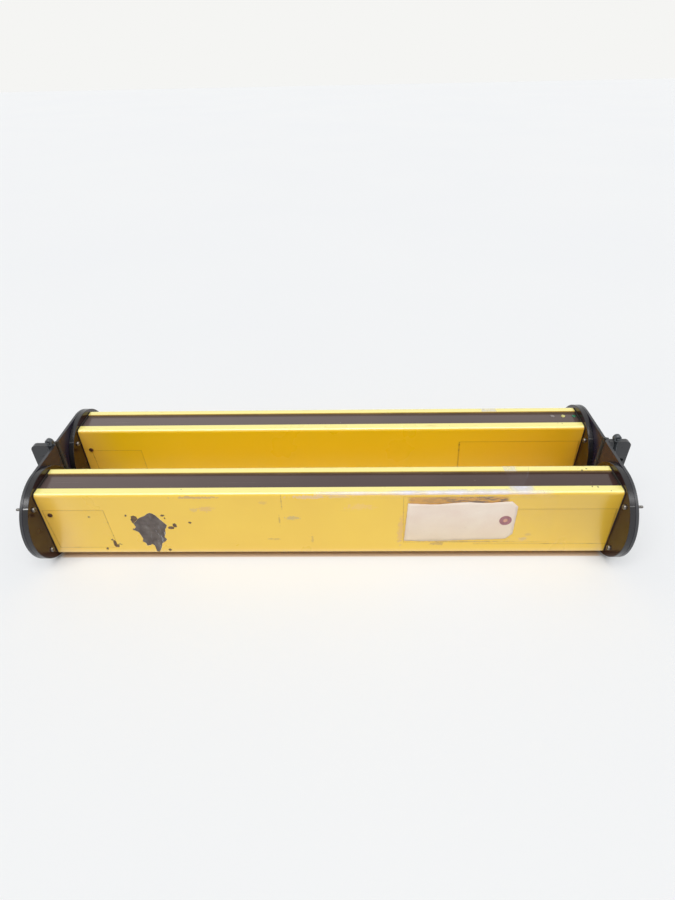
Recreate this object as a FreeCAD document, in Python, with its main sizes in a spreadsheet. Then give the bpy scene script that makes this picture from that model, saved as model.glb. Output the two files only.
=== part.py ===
import FreeCAD, Part
import math
import os
import Sketcher
from FreeCAD import Placement, Rotation, Vector

# Safety light curtain: an emitter bar and a receiver bar lie side by side, windows up, and the flanges of
# their end brackets stand back to back between them.
# X runs along the bars, the emitter is at -Y, Z is up. The origin is on the floor under the middle.
# All sizes are in millimetres.

SIZES = {
    # The two extruded housings.
    "bar_length": 610,
    "bar_depth": 46,
    "bar_height": 88,
    "mid_clearance": 7,
    "wall_thickness": 2.6,
    "corner_radius": 4,
    "rail_reach": 3,
    "rail_thickness": 2,
    # Window, its seal and the ledge that carries it.
    "opening_width": 25.4,
    "lip_thickness": 1.8,
    "seal_thickness": 0.8,
    "bead_width": 0.9,
    "bead_height": 1.8,
    "window_thickness": 3,
    "window_overlap": 3.9,
    "ledge_thickness": 2.2,
    "fit_clearance": 0.2,
    # Optics and circuit board.
    "end_gap": 12.5,
    "lamp_bay": 42,
    "beam_pitch": 25,
    "lens_strip_thickness": 2.8,
    "lens_radius": 9,
    "lens_bulge": 1.6,
    "carrier_height": 23.2,
    "tunnel_width": 17,
    "board_gap": 8.4,
    "board_thickness": 1.6,
    "diode_radius": 2.5,
    "diode_height": 5,
    "sensor_size": 6,
    "sensor_height": 2.4,
    "chip_length": 14,
    "chip_width": 9,
    "chip_height": 2,
    "chip_pitch": 70,
    "chip_count": 3,
    "header_length": 24,
    "header_width": 9,
    "header_height": 8,
    "header_wall": 1.2,
    "header_depth": 6,
    "header_inset": 20,
    # End caps, their seals and countersunk screws.
    "gasket_thickness": 1,
    "disc_radius": 52,
    "disc_thickness": 6,
    "disc_edge": 0.4,
    "index_width": 1.2,
    "index_depth": 0.6,
    "spigot_depth": 6,
    "spigot_wall": 2.4,
    "cap_screw_radius": 1.5,
    "cap_screw_head_radius": 2.8,
    "cap_screw_length": 14,
    "thread_clearance": 0.1,
    # Sheet brackets with slotted flanges.
    "plate_thickness": 3,
    "bend_radius": 2,
    "flange_reach": 28,
    "flange_relief": 2,
    "relief_gap": 1,
    "flange_corner": 6,
    "slot_length": 20,
    "slot_width": 5.5,
    "slot_reach": 15,
    "slot_offset": 24,
    # Bracket screws, washers and nuts.
    "bolt_circle_radius": 42,
    "screw_radius": 1.5,
    "screw_length": 18,
    "head_radius": 2.75,
    "head_height": 1.8,
    "head_edge": 0.6,
    "tip_chamfer": 0.4,
    "washer_radius": 3.5,
    "washer_thickness": 0.5,
    "nut_width": 5.5,
    "nut_height": 2.4,
    # Receptacle in the right end of each bar.
    "receptacle_radius": 8,
    "receptacle_reach": 12,
    "receptacle_flange_radius": 12,
    "receptacle_flange": 3,
    "receptacle_thread_radius": 7.5,
    "receptacle_tail": 5,
    "receptacle_bore_radius": 6.3,
    "receptacle_bore_depth": 13,
    "insert_recess": 2,
    "insert_gap": 0.1,
    "contact_circle_radius": 3.6,
    "contact_radius": 0.8,
    "contact_bore_radius": 0.45,
    "contact_depth": 8,
    "contact_count": 5,
    "receptacle_nut_width": 20,
    "receptacle_nut_height": 4,
    # Indicator lamps in the receiver's window.
    "lamp_radius": 2.5,
    "lamp_seat": 1.2,
    "lamp_height": 1.9,
    "lamp_edge": 0.5,
    "lamp_offset": 5,
    "lamp_pitch": 13.1,
    "lamp_inset": 16.2,
    # Small screw in the front wall near the left end of each bar.
    "side_screw_inset": 8.9,
    "side_screw_rise": 5.5,
    "side_screw_radius": 1.5,
    "side_screw_length": 6,
    "side_head_radius": 2.6,
    "side_head_height": 1.2,
    "side_nut_width": 5.5,
    "side_nut_height": 2.4,
    # Cable tie through the upper slots at each end.
    "tie_reach": 8.6,
    "tie_width": 3.6,
    "tie_thickness": 1.2,
    "tie_slack": 0.2,
    "tie_corner": 0.5,
    "tie_drop": 0.35,
    "tie_head_length": 7,
    "tie_head_width": 6.5,
    "tie_head_height": 6,
    "tie_head_shift": 1.5,
    "tie_tail": 3.5,
    # Blank paper tag on the emitter's front face.
    "tag_length": 116,
    "tag_width": 53.6,
    "tag_thickness": 0.4,
    "tag_clip": 7,
    "tag_inset": 162.6,
    "tag_height": 4.6,
    "tag_tilt": 1,
    "ring_inset": 10.4,
    "ring_radius": 6.5,
    "ring_hole_radius": 2.5,
    "ring_thickness": 0.3,
}

BARS = {"emitter": -1, "receiver": 1}
ENDS = {"left": -1, "right": 1}

# Levels and half widths in a bar's section, measured from the bar's own axis.
TOP = "(dims.bar_height / 2)"
SIDE = "(dims.bar_depth / 2)"
FLOOR = "(dims.wall_thickness - dims.bar_height / 2)"
LIP_UNDER = f"({TOP} - dims.lip_thickness)"
WINDOW_TOP = f"({LIP_UNDER} - dims.seal_thickness)"
WINDOW_UNDER = f"({WINDOW_TOP} - dims.window_thickness)"
LEDGE_UNDER = f"({WINDOW_UNDER} - dims.ledge_thickness)"
LENS_TOP = f"({LEDGE_UNDER} - dims.fit_clearance)"
CARRIER_TOP = f"({LENS_TOP} - dims.lens_strip_thickness)"
CARRIER_UNDER = f"({CARRIER_TOP} - dims.carrier_height)"
BOARD_TOP = f"({CARRIER_UNDER} - dims.board_gap)"
BOARD_UNDER = f"({BOARD_TOP} - dims.board_thickness)"
BOARD_RAIL = f"({BOARD_TOP} + dims.fit_clearance)"
OPENING_HALF = "(dims.opening_width / 2)"
WINDOW_HALF = f"({OPENING_HALF} + dims.window_overlap)"
GROOVE_HALF = f"({WINDOW_HALF} + dims.fit_clearance)"
CAVITY_HALF = f"({SIDE} - dims.wall_thickness)"
RAIL_HALF = f"({CAVITY_HALF} - dims.rail_reach)"
INSERT_HALF = f"({CAVITY_HALF} - dims.fit_clearance)"
CAP_SCREW_Y = f"(({GROOVE_HALF} + {SIDE}) / 2)"
CAP_SCREW_Z = f"(({LEDGE_UNDER} + {TOP}) / 2)"
SIDE_SCREW_Z = f"({CARRIER_UNDER} + dims.side_screw_rise)"

# Stations along X from the end face of a housing outwards.
CAP_IN = "dims.gasket_thickness"
CAP_OUT = "(dims.gasket_thickness + dims.disc_thickness)"
PLATE_OUT = f"({CAP_OUT} + dims.plate_thickness)"
FLANGE_END = f"({PLATE_OUT} + dims.flange_reach)"
BOLT_OFFSET = "(dims.bolt_circle_radius / sqrt(2))"
HALF_LENGTH = "(dims.bar_length / 2)"
HALF_PITCH = "(dims.disc_radius + dims.mid_clearance)"
SIDE_SCREW_X = f"(dims.side_screw_inset - {HALF_LENGTH})"

# The optics leave a bay for the lamps at the right end.
CARRIER_LENGTH = "(dims.bar_length - dims.end_gap - dims.lamp_bay)"
CARRIER_MIDDLE = "((dims.end_gap - dims.lamp_bay) / 2)"
BEAM_COUNT = f"floor({CARRIER_LENGTH} / dims.beam_pitch)"
FIRST_BEAM = f"({CARRIER_MIDDLE} - ({BEAM_COUNT} - 1) * dims.beam_pitch / 2)"

doc = FreeCAD.newDocument("light_curtain")
dims = doc.addObject("Spreadsheet::Sheet", "dims")
for row, (name, value) in enumerate(SIZES.items(), start=1):
    dims.set(f"A{row}", str(value))
    dims.setAlias(f"A{row}", name)
doc.recompute()

nodes = []


def new_body(label, x="0", y="0", z="dims.disc_radius", rotation=Rotation()):
    """Starts one node; its local origin lies at the given point, by default at the bars' axis height."""
    body = doc.addObject("PartDesign::Body", label)
    body.Label = label
    body.Placement = Placement(Vector(), rotation)
    for axis, text in zip("xyz", (x, y, z)):
        body.setExpression(f"Placement.Base.{axis}", text)
    nodes.append(body)
    return body


def bar_body(label, bar):
    """Node in the frame of one bar: X along it, origin in the middle of its axis."""
    return new_body(label, y=f"{BARS[bar]} * {HALF_PITCH}")


def end_body(label, bar, end):
    """Node in the frame of one bar end: X points outwards from the housing's end face, Y at the other bar."""
    turns = {
        ("emitter", "right"): Rotation(),
        ("emitter", "left"): Rotation(Vector(0, 1, 0), 180),
        ("receiver", "right"): Rotation(Vector(1, 0, 0), 180),
        ("receiver", "left"): Rotation(Vector(0, 0, 1), 180),
    }
    x = f"{ENDS[end]} * {HALF_LENGTH}"
    y = f"{BARS[bar]} * {HALF_PITCH}"
    return new_body(label, x=x, y=y, rotation=turns[bar, end])


def origin_part(body, role):
    """One of the body's own planes or axes, by its role."""
    return [part for part in body.Origin.OriginFeatures if part.Role == role][0]


def new_sketch(body, role, x="0", y="0", z="0", turn=0):
    """Sketch on one of the body's planes, shifted in the plane by x and y and along its normal by z."""
    sketch = body.newObject("Sketcher::SketchObject", f"{body.Name}_sketch")
    sketch.AttachmentSupport = [(origin_part(body, role), "")]
    sketch.MapMode = "FlatFace"
    sketch.AttachmentOffset = Placement(Vector(), Rotation(Vector(0, 0, 1), turn))
    for axis, text in zip("xyz", (x, y, z)):
        if text != "0":
            sketch.setExpression(f"AttachmentOffset.Base.{axis}", text)
    return sketch


def negative(text):
    return "0" if text == "0" else f"-({text})"


def add_constraints(sketch, ties):
    """Adds constraints at once; each tie is a constraint and the expression of its value, or None."""
    numbers = sketch.addConstraint([constraint for constraint, text in ties])
    for number, (constraint, text) in zip(numbers, ties):
        if text is not None:
            sketch.setExpression(f"Constraints[{number}]", text)


def coordinate_tie(sketch, kind, piece, vertex, text):
    """Holds one coordinate of a vertex at an expression, or on the axis where it is zero."""
    if text == "0":
        axis = -2 if kind == "DistanceX" else -1
        return Sketcher.Constraint("PointOnObject", piece, vertex, axis), None
    value = float(sketch.evalExpression(text))
    return Sketcher.Constraint(kind, -1, 1, piece, vertex, value), text


def add_outline(sketch, corners):
    """Closed outline through corners (x, y). A corner (x, y, centre x, centre y, turn) ends an arc, which
    runs counter-clockwise where turn is 1 and clockwise where it is -1."""
    points = [[float(sketch.evalExpression(text)) for text in corner[:4]] for corner in corners]
    first = sketch.GeometryCount
    pieces, heads, tails = [], [], []
    for number, corner in enumerate(corners):
        start = Vector(*points[number - 1][:2])
        stop = Vector(*points[number][:2])
        if len(corner) == 2:
            pieces.append(Part.LineSegment(start, stop))
            forward = True
        else:
            centre = Vector(*points[number][2:4])
            forward = corner[4] > 0
            begin, end = (start, stop) if forward else (stop, start)
            angles = [math.atan2(p.y - centre.y, p.x - centre.x) for p in (begin, end)]
            circle = Part.Circle(centre, Vector(0, 0, 1), (start - centre).Length)
            pieces.append(Part.ArcOfCircle(circle, *angles))
        tails.append(1 if forward else 2)
        heads.append(2 if forward else 1)
    sketch.addGeometry(pieces, False)
    ties = []
    for number, corner in enumerate(corners):
        piece = first + number
        following = (number + 1) % len(corners)
        joint = Sketcher.Constraint("Coincident", piece, heads[number], first + following, tails[following])
        ties.append((joint, None))
        ties.append(coordinate_tie(sketch, "DistanceX", piece, heads[number], corner[0]))
        ties.append(coordinate_tie(sketch, "DistanceY", piece, heads[number], corner[1]))
        if len(corner) > 2:
            chord = Vector(*points[number][:2]) - Vector(*points[number - 1][:2])
            if abs(chord.y) >= abs(chord.x):
                ties.append(coordinate_tie(sketch, "DistanceX", piece, 3, corner[2]))
            else:
                ties.append(coordinate_tie(sketch, "DistanceY", piece, 3, corner[3]))
    add_constraints(sketch, ties)


def add_circle(sketch, x, y, radius):
    centre = Vector(float(sketch.evalExpression(x)), float(sketch.evalExpression(y)))
    size = float(sketch.evalExpression(radius))
    number = sketch.addGeometry(Part.Circle(centre, Vector(0, 0, 1), size), False)
    ties = [
        coordinate_tie(sketch, "DistanceX", number, 3, x),
        coordinate_tie(sketch, "DistanceY", number, 3, y),
        (Sketcher.Constraint("Radius", number, size), radius),
    ]
    add_constraints(sketch, ties)


def add_box(sketch, low_x, high_x, low_y, high_y):
    add_outline(sketch, [(low_x, low_y), (high_x, low_y), (high_x, high_y), (low_x, high_y)])


def add_centred_box(sketch, width, height):
    add_box(sketch, f"-{width} / 2", f"{width} / 2", f"-{height} / 2", f"{height} / 2")


def add_rounded_box(sketch, half_width, low_y, high_y, radius):
    """Box with rounded corners, centred on the sketch's y axis."""
    inner = f"({half_width} - {radius})"
    low = f"({low_y} + {radius})"
    high = f"({high_y} - {radius})"
    corners = [
        (inner, low_y),
        (half_width, low, inner, low, 1),
        (half_width, high),
        (inner, high_y, inner, high, 1),
        (negative(inner), high_y),
        (negative(half_width), high, negative(inner), high, 1),
        (negative(half_width), low),
        (negative(inner), low_y, negative(inner), low, 1),
    ]
    add_outline(sketch, corners)


def add_hexagon(sketch, width):
    """Hexagon with the given width across its flats, two corners on the x axis."""
    corner = f"({width} / sqrt(3))"
    half = f"({width} / 2)"
    across = f"({corner} / 2)"
    points = [(corner, "0"), (across, half), (negative(across), half)]
    add_outline(sketch, points + [(negative(x), negative(y)) for x, y in points])


def add_feature(body, kind, name, sketch):
    feature = body.newObject(f"PartDesign::{kind}", f"{body.Name}_{name}")
    feature.Profile = sketch
    return feature


def pad(body, name, sketch, length, both=False, backwards=False):
    feature = add_feature(body, "Pad", name, sketch)
    feature.SideType = "Symmetric" if both else "One side"
    feature.Reversed = backwards
    feature.setExpression("Length", length)
    doc.recompute()
    return feature


def check_cut(body, name, volume_before):
    doc.recompute()
    if body.Shape.Volume > volume_before - 1e-6:
        raise RuntimeError(f"{name} takes nothing off {body.Label}")


def pocket(body, name, sketch, length=None, both=False):
    """Pocket against the sketch's normal, or to both sides, to a depth or right through."""
    volume = body.Shape.Volume
    feature = add_feature(body, "Pocket", name, sketch)
    feature.SideType = "Symmetric" if both else "One side"
    if length is None:
        feature.Type = "ThroughAll"
    else:
        feature.setExpression("Length", length)
    check_cut(body, name, volume)
    return feature


def turned(body, name, sketch, axis="H_Axis", cut=False):
    """Revolves a sketch about one of its own axes, as a solid or as a cut."""
    if cut:
        volume = body.Shape.Volume
    feature = add_feature(body, "Groove" if cut else "Revolution", name, sketch)
    feature.ReferenceAxis = (sketch, [axis])
    feature.Angle = 360
    if cut:
        check_cut(body, name, volume)
    else:
        doc.recompute()
    return feature


def row_of(body, name, axis, spacing, count, features=None):
    """Repeats features, or the whole body, along one of its axes."""
    pattern = body.newObject("PartDesign::LinearPattern", f"{body.Name}_{name}")
    if features:
        pattern.Originals = features
    else:
        pattern.TransformMode = "Whole shape"
    pattern.Direction = (origin_part(body, axis), [""])
    pattern.Mode = "Spacing"
    pattern.setExpression("Offset", spacing)
    pattern.setExpression("Occurrences", str(count))
    body.Tip = pattern
    doc.recompute()


def ring_of(body, name, count, features=None):
    """Repeats features, or the whole body, evenly about the body's X axis."""
    pattern = body.newObject("PartDesign::PolarPattern", f"{body.Name}_{name}")
    if features:
        pattern.Originals = features
    else:
        pattern.TransformMode = "Whole shape"
    pattern.Axis = (origin_part(body, "X_Axis"), [""])
    pattern.Angle = 360
    pattern.setExpression("Occurrences", str(count))
    body.Tip = pattern
    doc.recompute()


def mirrored(body, name, plane):
    """Adds the mirror image of the whole body in one of its planes."""
    copy = body.newObject("PartDesign::Mirrored", f"{body.Name}_{name}")
    copy.TransformMode = "Whole shape"
    copy.MirrorPlane = (origin_part(body, plane), [""])
    body.Tip = copy
    doc.recompute()


def round_edges(body, name, radius, wanted):
    """Fillets the edges of the body that satisfy a test."""
    names = [f"Edge{number}" for number, edge in enumerate(body.Shape.Edges, start=1) if wanted(edge)]
    base = body.Tip
    fillet = body.newObject("PartDesign::Fillet", f"{body.Name}_{name}")
    fillet.Base = (base, names)
    fillet.setExpression("Radius", radius)
    body.Tip = fillet
    doc.recompute()


# Housings. One extruded section: a wall round a cavity, a window groove under two lips, a ledge that
# carries the window, rails for the optics and the board, and screw channels in the four corners.

def section_corners():
    """Half of the section's inside, from the opening's upper edge down to the floor."""
    board_rail_top = f"({BOARD_RAIL} + dims.rail_thickness)"
    return [
        (OPENING_HALF, TOP),
        (OPENING_HALF, LIP_UNDER),
        (GROOVE_HALF, LIP_UNDER),
        (GROOVE_HALF, WINDOW_UNDER),
        (OPENING_HALF, WINDOW_UNDER),
        (OPENING_HALF, LEDGE_UNDER),
        (CAVITY_HALF, LEDGE_UNDER),
        (CAVITY_HALF, CARRIER_UNDER),
        (RAIL_HALF, CARRIER_UNDER),
        (RAIL_HALF, f"({CARRIER_UNDER} - dims.rail_thickness)"),
        (CAVITY_HALF, f"({CARRIER_UNDER} - dims.rail_thickness)"),
        (CAVITY_HALF, board_rail_top),
        (RAIL_HALF, board_rail_top),
        (RAIL_HALF, BOARD_RAIL),
        (CAVITY_HALF, BOARD_RAIL),
        (CAVITY_HALF, BOARD_UNDER),
        (RAIL_HALF, BOARD_UNDER),
        (RAIL_HALF, f"({BOARD_UNDER} - dims.rail_thickness)"),
        (CAVITY_HALF, f"({BOARD_UNDER} - dims.rail_thickness)"),
        (CAVITY_HALF, negative(LEDGE_UNDER)),
        (GROOVE_HALF, negative(LEDGE_UNDER)),
        (GROOVE_HALF, FLOOR),
    ]


def add_cap_screw_circles(sketch, radius):
    for y in (CAP_SCREW_Y, negative(CAP_SCREW_Y)):
        for z in (CAP_SCREW_Z, negative(CAP_SCREW_Z)):
            add_circle(sketch, y, z, radius)


def make_housing(bar):
    body = bar_body(f"{bar}_housing", bar)
    section = new_sketch(body, "YZ_Plane")
    inside = section_corners()
    bend_y = f"({SIDE} - dims.corner_radius)"
    bend_z = f"({TOP} - dims.corner_radius)"
    outside = [
        (negative(bend_y), TOP),
        (negative(SIDE), bend_z, negative(bend_y), bend_z, 1),
        (negative(SIDE), negative(bend_z)),
        (negative(bend_y), negative(TOP), negative(bend_y), negative(bend_z), 1),
        (bend_y, negative(TOP)),
        (SIDE, negative(bend_z), bend_y, negative(bend_z), 1),
        (SIDE, bend_z),
        (bend_y, TOP, bend_y, bend_z, 1),
    ]
    left_inside = [(negative(y), z) for y, z in reversed(inside)]
    add_outline(section, inside + left_inside + outside)
    add_cap_screw_circles(section, "(dims.cap_screw_radius + dims.thread_clearance)")
    pad(body, "extrusion", section, "dims.bar_length", both=True)
    hole = new_sketch(body, "XZ_Plane", z=SIDE)
    add_circle(hole, SIDE_SCREW_X, SIDE_SCREW_Z, "(dims.side_screw_radius + dims.thread_clearance)")
    pocket(body, "side_screw_hole", hole, "dims.wall_thickness")


# Windows and their seals. The window slides into the groove from the end and rests on the ledges. Each
# seal lies on its edge, under the lip, and shows as a thin bead along the opening.

def lamp_station(number):
    """Place along X of an indicator lamp, counted from the inner one."""
    return f"({HALF_LENGTH} - dims.lamp_inset + {number - 1} * dims.lamp_pitch)"


def make_window(bar, lamps):
    body = bar_body(f"{bar}_window", bar)
    section = new_sketch(body, "YZ_Plane")
    add_box(section, negative(WINDOW_HALF), WINDOW_HALF, WINDOW_UNDER, WINDOW_TOP)
    pad(body, "pane", section, "dims.bar_length", both=True)
    if lamps:
        seats = new_sketch(body, "XY_Plane", z=WINDOW_TOP)
        seat_radius = "(dims.lamp_radius + dims.thread_clearance)"
        for number in range(lamps):
            add_circle(seats, lamp_station(number), "dims.lamp_offset", seat_radius)
        pocket(body, "lamp_seats", seats, "dims.lamp_seat")


def make_window_seals(bar):
    body = bar_body(f"{bar}_window_seals", bar)
    section = new_sketch(body, "YZ_Plane")
    bead_side = f"({OPENING_HALF} - dims.bead_width)"
    bead_top = f"({WINDOW_TOP} + dims.bead_height)"
    corners = [
        (bead_side, WINDOW_TOP),
        (WINDOW_HALF, WINDOW_TOP),
        (WINDOW_HALF, LIP_UNDER),
        (OPENING_HALF, LIP_UNDER),
        (OPENING_HALF, bead_top),
        (bead_side, bead_top),
    ]
    add_outline(section, corners)
    pad(body, "strip", section, "dims.bar_length", both=True)
    mirrored(body, "second_strip", "XZ_Plane")


def make_lamp(colour, number):
    x = lamp_station(number)
    y = f"({HALF_PITCH} + dims.lamp_offset)"
    z = f"(dims.disc_radius + {WINDOW_TOP} - dims.lamp_seat)"
    body = new_body(f"receiver_{colour}_lamp", x, y, z)
    profile = new_sketch(body, "XZ_Plane")
    shoulder = "(dims.lamp_radius - dims.lamp_edge)"
    corners = [
        ("0", "0"),
        ("dims.lamp_radius", "0"),
        ("dims.lamp_radius", "(dims.lamp_height - dims.lamp_edge)"),
        (shoulder, "dims.lamp_height", shoulder, "(dims.lamp_height - dims.lamp_edge)", 1),
        ("0", "dims.lamp_height"),
    ]
    add_outline(profile, corners)
    turned(body, "lens", profile, "V_Axis")


# Optics and electronics. The carrier stands on its rails, the lens strip lies on it under the window
# ledges, and a tunnel under each lens leads down to a diode on the board.

def make_lens_strip(bar):
    body = bar_body(f"{bar}_lens_strip", bar)
    section = new_sketch(body, "YZ_Plane", z=CARRIER_MIDDLE)
    add_box(section, negative(INSERT_HALF), INSERT_HALF, CARRIER_TOP, LENS_TOP)
    pad(body, "strip", section, CARRIER_LENGTH, both=True)
    profile = new_sketch(body, "XZ_Plane", x=FIRST_BEAM)
    curvature = "((dims.lens_radius ^ 2 + dims.lens_bulge ^ 2) / (2 * dims.lens_bulge))"
    crown = f"({LENS_TOP} + dims.lens_bulge)"
    corners = [
        ("0", CARRIER_TOP),
        ("dims.lens_radius", CARRIER_TOP),
        ("dims.lens_radius", LENS_TOP),
        ("0", crown, "0", f"({crown} - {curvature})", 1),
    ]
    add_outline(profile, corners)
    lens = turned(body, "lens", profile, "V_Axis")
    row_of(body, "lenses", "X_Axis", "dims.beam_pitch", BEAM_COUNT, [lens])


def make_carrier(bar):
    body = bar_body(f"{bar}_optics_carrier", bar)
    section = new_sketch(body, "YZ_Plane", z=CARRIER_MIDDLE)
    add_box(section, negative(INSERT_HALF), INSERT_HALF, CARRIER_UNDER, CARRIER_TOP)
    pad(body, "block", section, CARRIER_LENGTH, both=True)
    opening = new_sketch(body, "XY_Plane", x=FIRST_BEAM, z=CARRIER_TOP)
    add_centred_box(opening, "dims.tunnel_width", "dims.tunnel_width")
    tunnel = pocket(body, "tunnel", opening)
    row_of(body, "tunnels", "X_Axis", "dims.beam_pitch", BEAM_COUNT, [tunnel])


def make_board(bar):
    body = bar_body(f"{bar}_circuit_board", bar)
    section = new_sketch(body, "YZ_Plane")
    add_box(section, negative(INSERT_HALF), INSERT_HALF, BOARD_UNDER, BOARD_TOP)
    pad(body, "board", section, "(dims.bar_length - 2 * dims.end_gap)", both=True)


def make_diodes(bar):
    """Domed diodes in the emitter, flat square sensors in the receiver, one under each lens."""
    if bar == "emitter":
        body = bar_body("emitter_diodes", bar)
        profile = new_sketch(body, "XZ_Plane", x=FIRST_BEAM)
        shoulder = f"({BOARD_TOP} + dims.diode_height - dims.diode_radius / 2)"
        corners = [
            ("0", BOARD_TOP),
            ("dims.diode_radius", BOARD_TOP),
            ("dims.diode_radius", shoulder),
            ("(dims.diode_radius / 2)", f"({BOARD_TOP} + dims.diode_height)"),
            ("0", f"({BOARD_TOP} + dims.diode_height)"),
        ]
        add_outline(profile, corners)
        turned(body, "diode", profile, "V_Axis")
    else:
        body = bar_body("receiver_photodiodes", bar)
        base = new_sketch(body, "XY_Plane", x=FIRST_BEAM, z=BOARD_TOP)
        add_centred_box(base, "dims.sensor_size", "dims.sensor_size")
        pad(body, "sensor", base, "dims.sensor_height")
    row_of(body, "diodes", "X_Axis", "dims.beam_pitch", BEAM_COUNT)


def make_chips(bar):
    body = bar_body(f"{bar}_chips", bar)
    base = new_sketch(body, "XY_Plane", x="-(dims.chip_count - 1) * dims.chip_pitch / 2", z=BOARD_UNDER)
    add_centred_box(base, "dims.chip_length", "dims.chip_width")
    pad(body, "chip", base, "dims.chip_height", backwards=True)
    row_of(body, "chips", "X_Axis", "dims.chip_pitch", "dims.chip_count")


def make_board_header(bar):
    body = bar_body(f"{bar}_board_header", bar)
    place = f"({HALF_LENGTH} - dims.end_gap - dims.header_inset)"
    base = new_sketch(body, "XY_Plane", x=place, z=BOARD_UNDER)
    add_centred_box(base, "dims.header_length", "dims.header_width")
    pad(body, "shell", base, "dims.header_height", backwards=True)
    mouth_floor = f"({BOARD_UNDER} - dims.header_height + dims.header_depth)"
    mouth = new_sketch(body, "XY_Plane", x=place, z=mouth_floor)
    mouth_length = "(dims.header_length - 2 * dims.header_wall)"
    mouth_width = "(dims.header_width - 2 * dims.header_wall)"
    add_centred_box(mouth, mouth_length, mouth_width)
    pocket(body, "mouth", mouth, "dims.header_depth")


# End caps. A turned disc with a square spigot that locates in the cavity, four countersunk holes over the
# corner screw channels, four bracket screw holes and, in line with them, an index groove across the rim.

def make_cap_gaskets(bar):
    body = bar_body(f"{bar}_cap_gaskets", bar)
    section = new_sketch(body, "YZ_Plane", z=HALF_LENGTH)
    add_rounded_box(section, SIDE, negative(TOP), TOP, "dims.corner_radius")
    add_box(section, negative(GROOVE_HALF), GROOVE_HALF, negative(LEDGE_UNDER), LEDGE_UNDER)
    add_cap_screw_circles(section, "(dims.cap_screw_radius + dims.fit_clearance)")
    pad(body, "gasket", section, "dims.gasket_thickness")
    mirrored(body, "other_end", "YZ_Plane")


def add_receptacle_hole(body):
    hole = new_sketch(body, "YZ_Plane", z=PLATE_OUT)
    add_circle(hole, "0", "0", "(dims.receptacle_thread_radius + dims.fit_clearance)")
    pocket(body, "receptacle_hole", hole)


def make_cap(bar, end):
    body = end_body(f"{bar}_{end}_cap", bar, end)
    profile = new_sketch(body, "XY_Plane")
    edge = "(dims.disc_radius - dims.disc_edge)"
    corners = [
        (CAP_IN, "0"),
        (CAP_OUT, "0"),
        (CAP_OUT, edge),
        (f"({CAP_OUT} - dims.disc_edge)", "dims.disc_radius"),
        (f"({CAP_IN} + dims.disc_edge)", "dims.disc_radius"),
        (CAP_IN, edge),
    ]
    add_outline(profile, corners)
    turned(body, "disc", profile)
    spigot = new_sketch(body, "YZ_Plane", z=CAP_IN)
    spigot_y = f"({GROOVE_HALF} - dims.fit_clearance)"
    spigot_z = f"({LEDGE_UNDER} - dims.fit_clearance)"
    inner_y = f"({spigot_y} - dims.spigot_wall)"
    inner_z = f"({spigot_z} - dims.spigot_wall)"
    add_box(spigot, negative(spigot_y), spigot_y, negative(spigot_z), spigot_z)
    add_box(spigot, negative(inner_y), inner_y, negative(inner_z), inner_z)
    pad(body, "spigot", spigot, "dims.spigot_depth", backwards=True)
    holes = new_sketch(body, "YZ_Plane", z=CAP_OUT, turn=45)
    add_circle(holes, "dims.bolt_circle_radius", "0", "(dims.screw_radius + dims.fit_clearance)")
    groove_floor = "(dims.disc_radius - dims.index_depth)"
    add_box(holes, groove_floor, "(dims.disc_radius + 1)", "-dims.index_width / 2", "dims.index_width / 2")
    cut = pocket(body, "screw_hole_and_index", holes)
    ring_of(body, "screw_holes_and_indexes", 4, [cut])
    for side in (CAP_SCREW_Y, negative(CAP_SCREW_Y)):
        for level in (CAP_SCREW_Z, negative(CAP_SCREW_Z)):
            bore = new_sketch(body, "XY_Plane", y=side, z=level)
            add_outline(bore, countersunk_profile("dims.fit_clearance", "dims.disc_thickness"))
            turned(body, "countersink", bore, cut=True)
    if end == "right":
        add_receptacle_hole(body)


def countersunk_profile(room, length):
    """Half outline of a cap screw, head flush with the cap's outer face, or of its hole with some room."""
    shank = f"(dims.cap_screw_radius + {room})"
    head = f"(dims.cap_screw_head_radius + {room})"
    return [
        (CAP_OUT, "0"),
        (CAP_OUT, head),
        (f"({CAP_OUT} - dims.cap_screw_head_radius + dims.cap_screw_radius)", shank),
        (f"({CAP_OUT} - {length})", shank),
        (f"({CAP_OUT} - {length})", "0"),
    ]


# Brackets. Sheet with a round end that covers the cap and straight edges that run to the middle between
# the bars, where the sheet is bent outwards into a flange with two slots.

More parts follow.
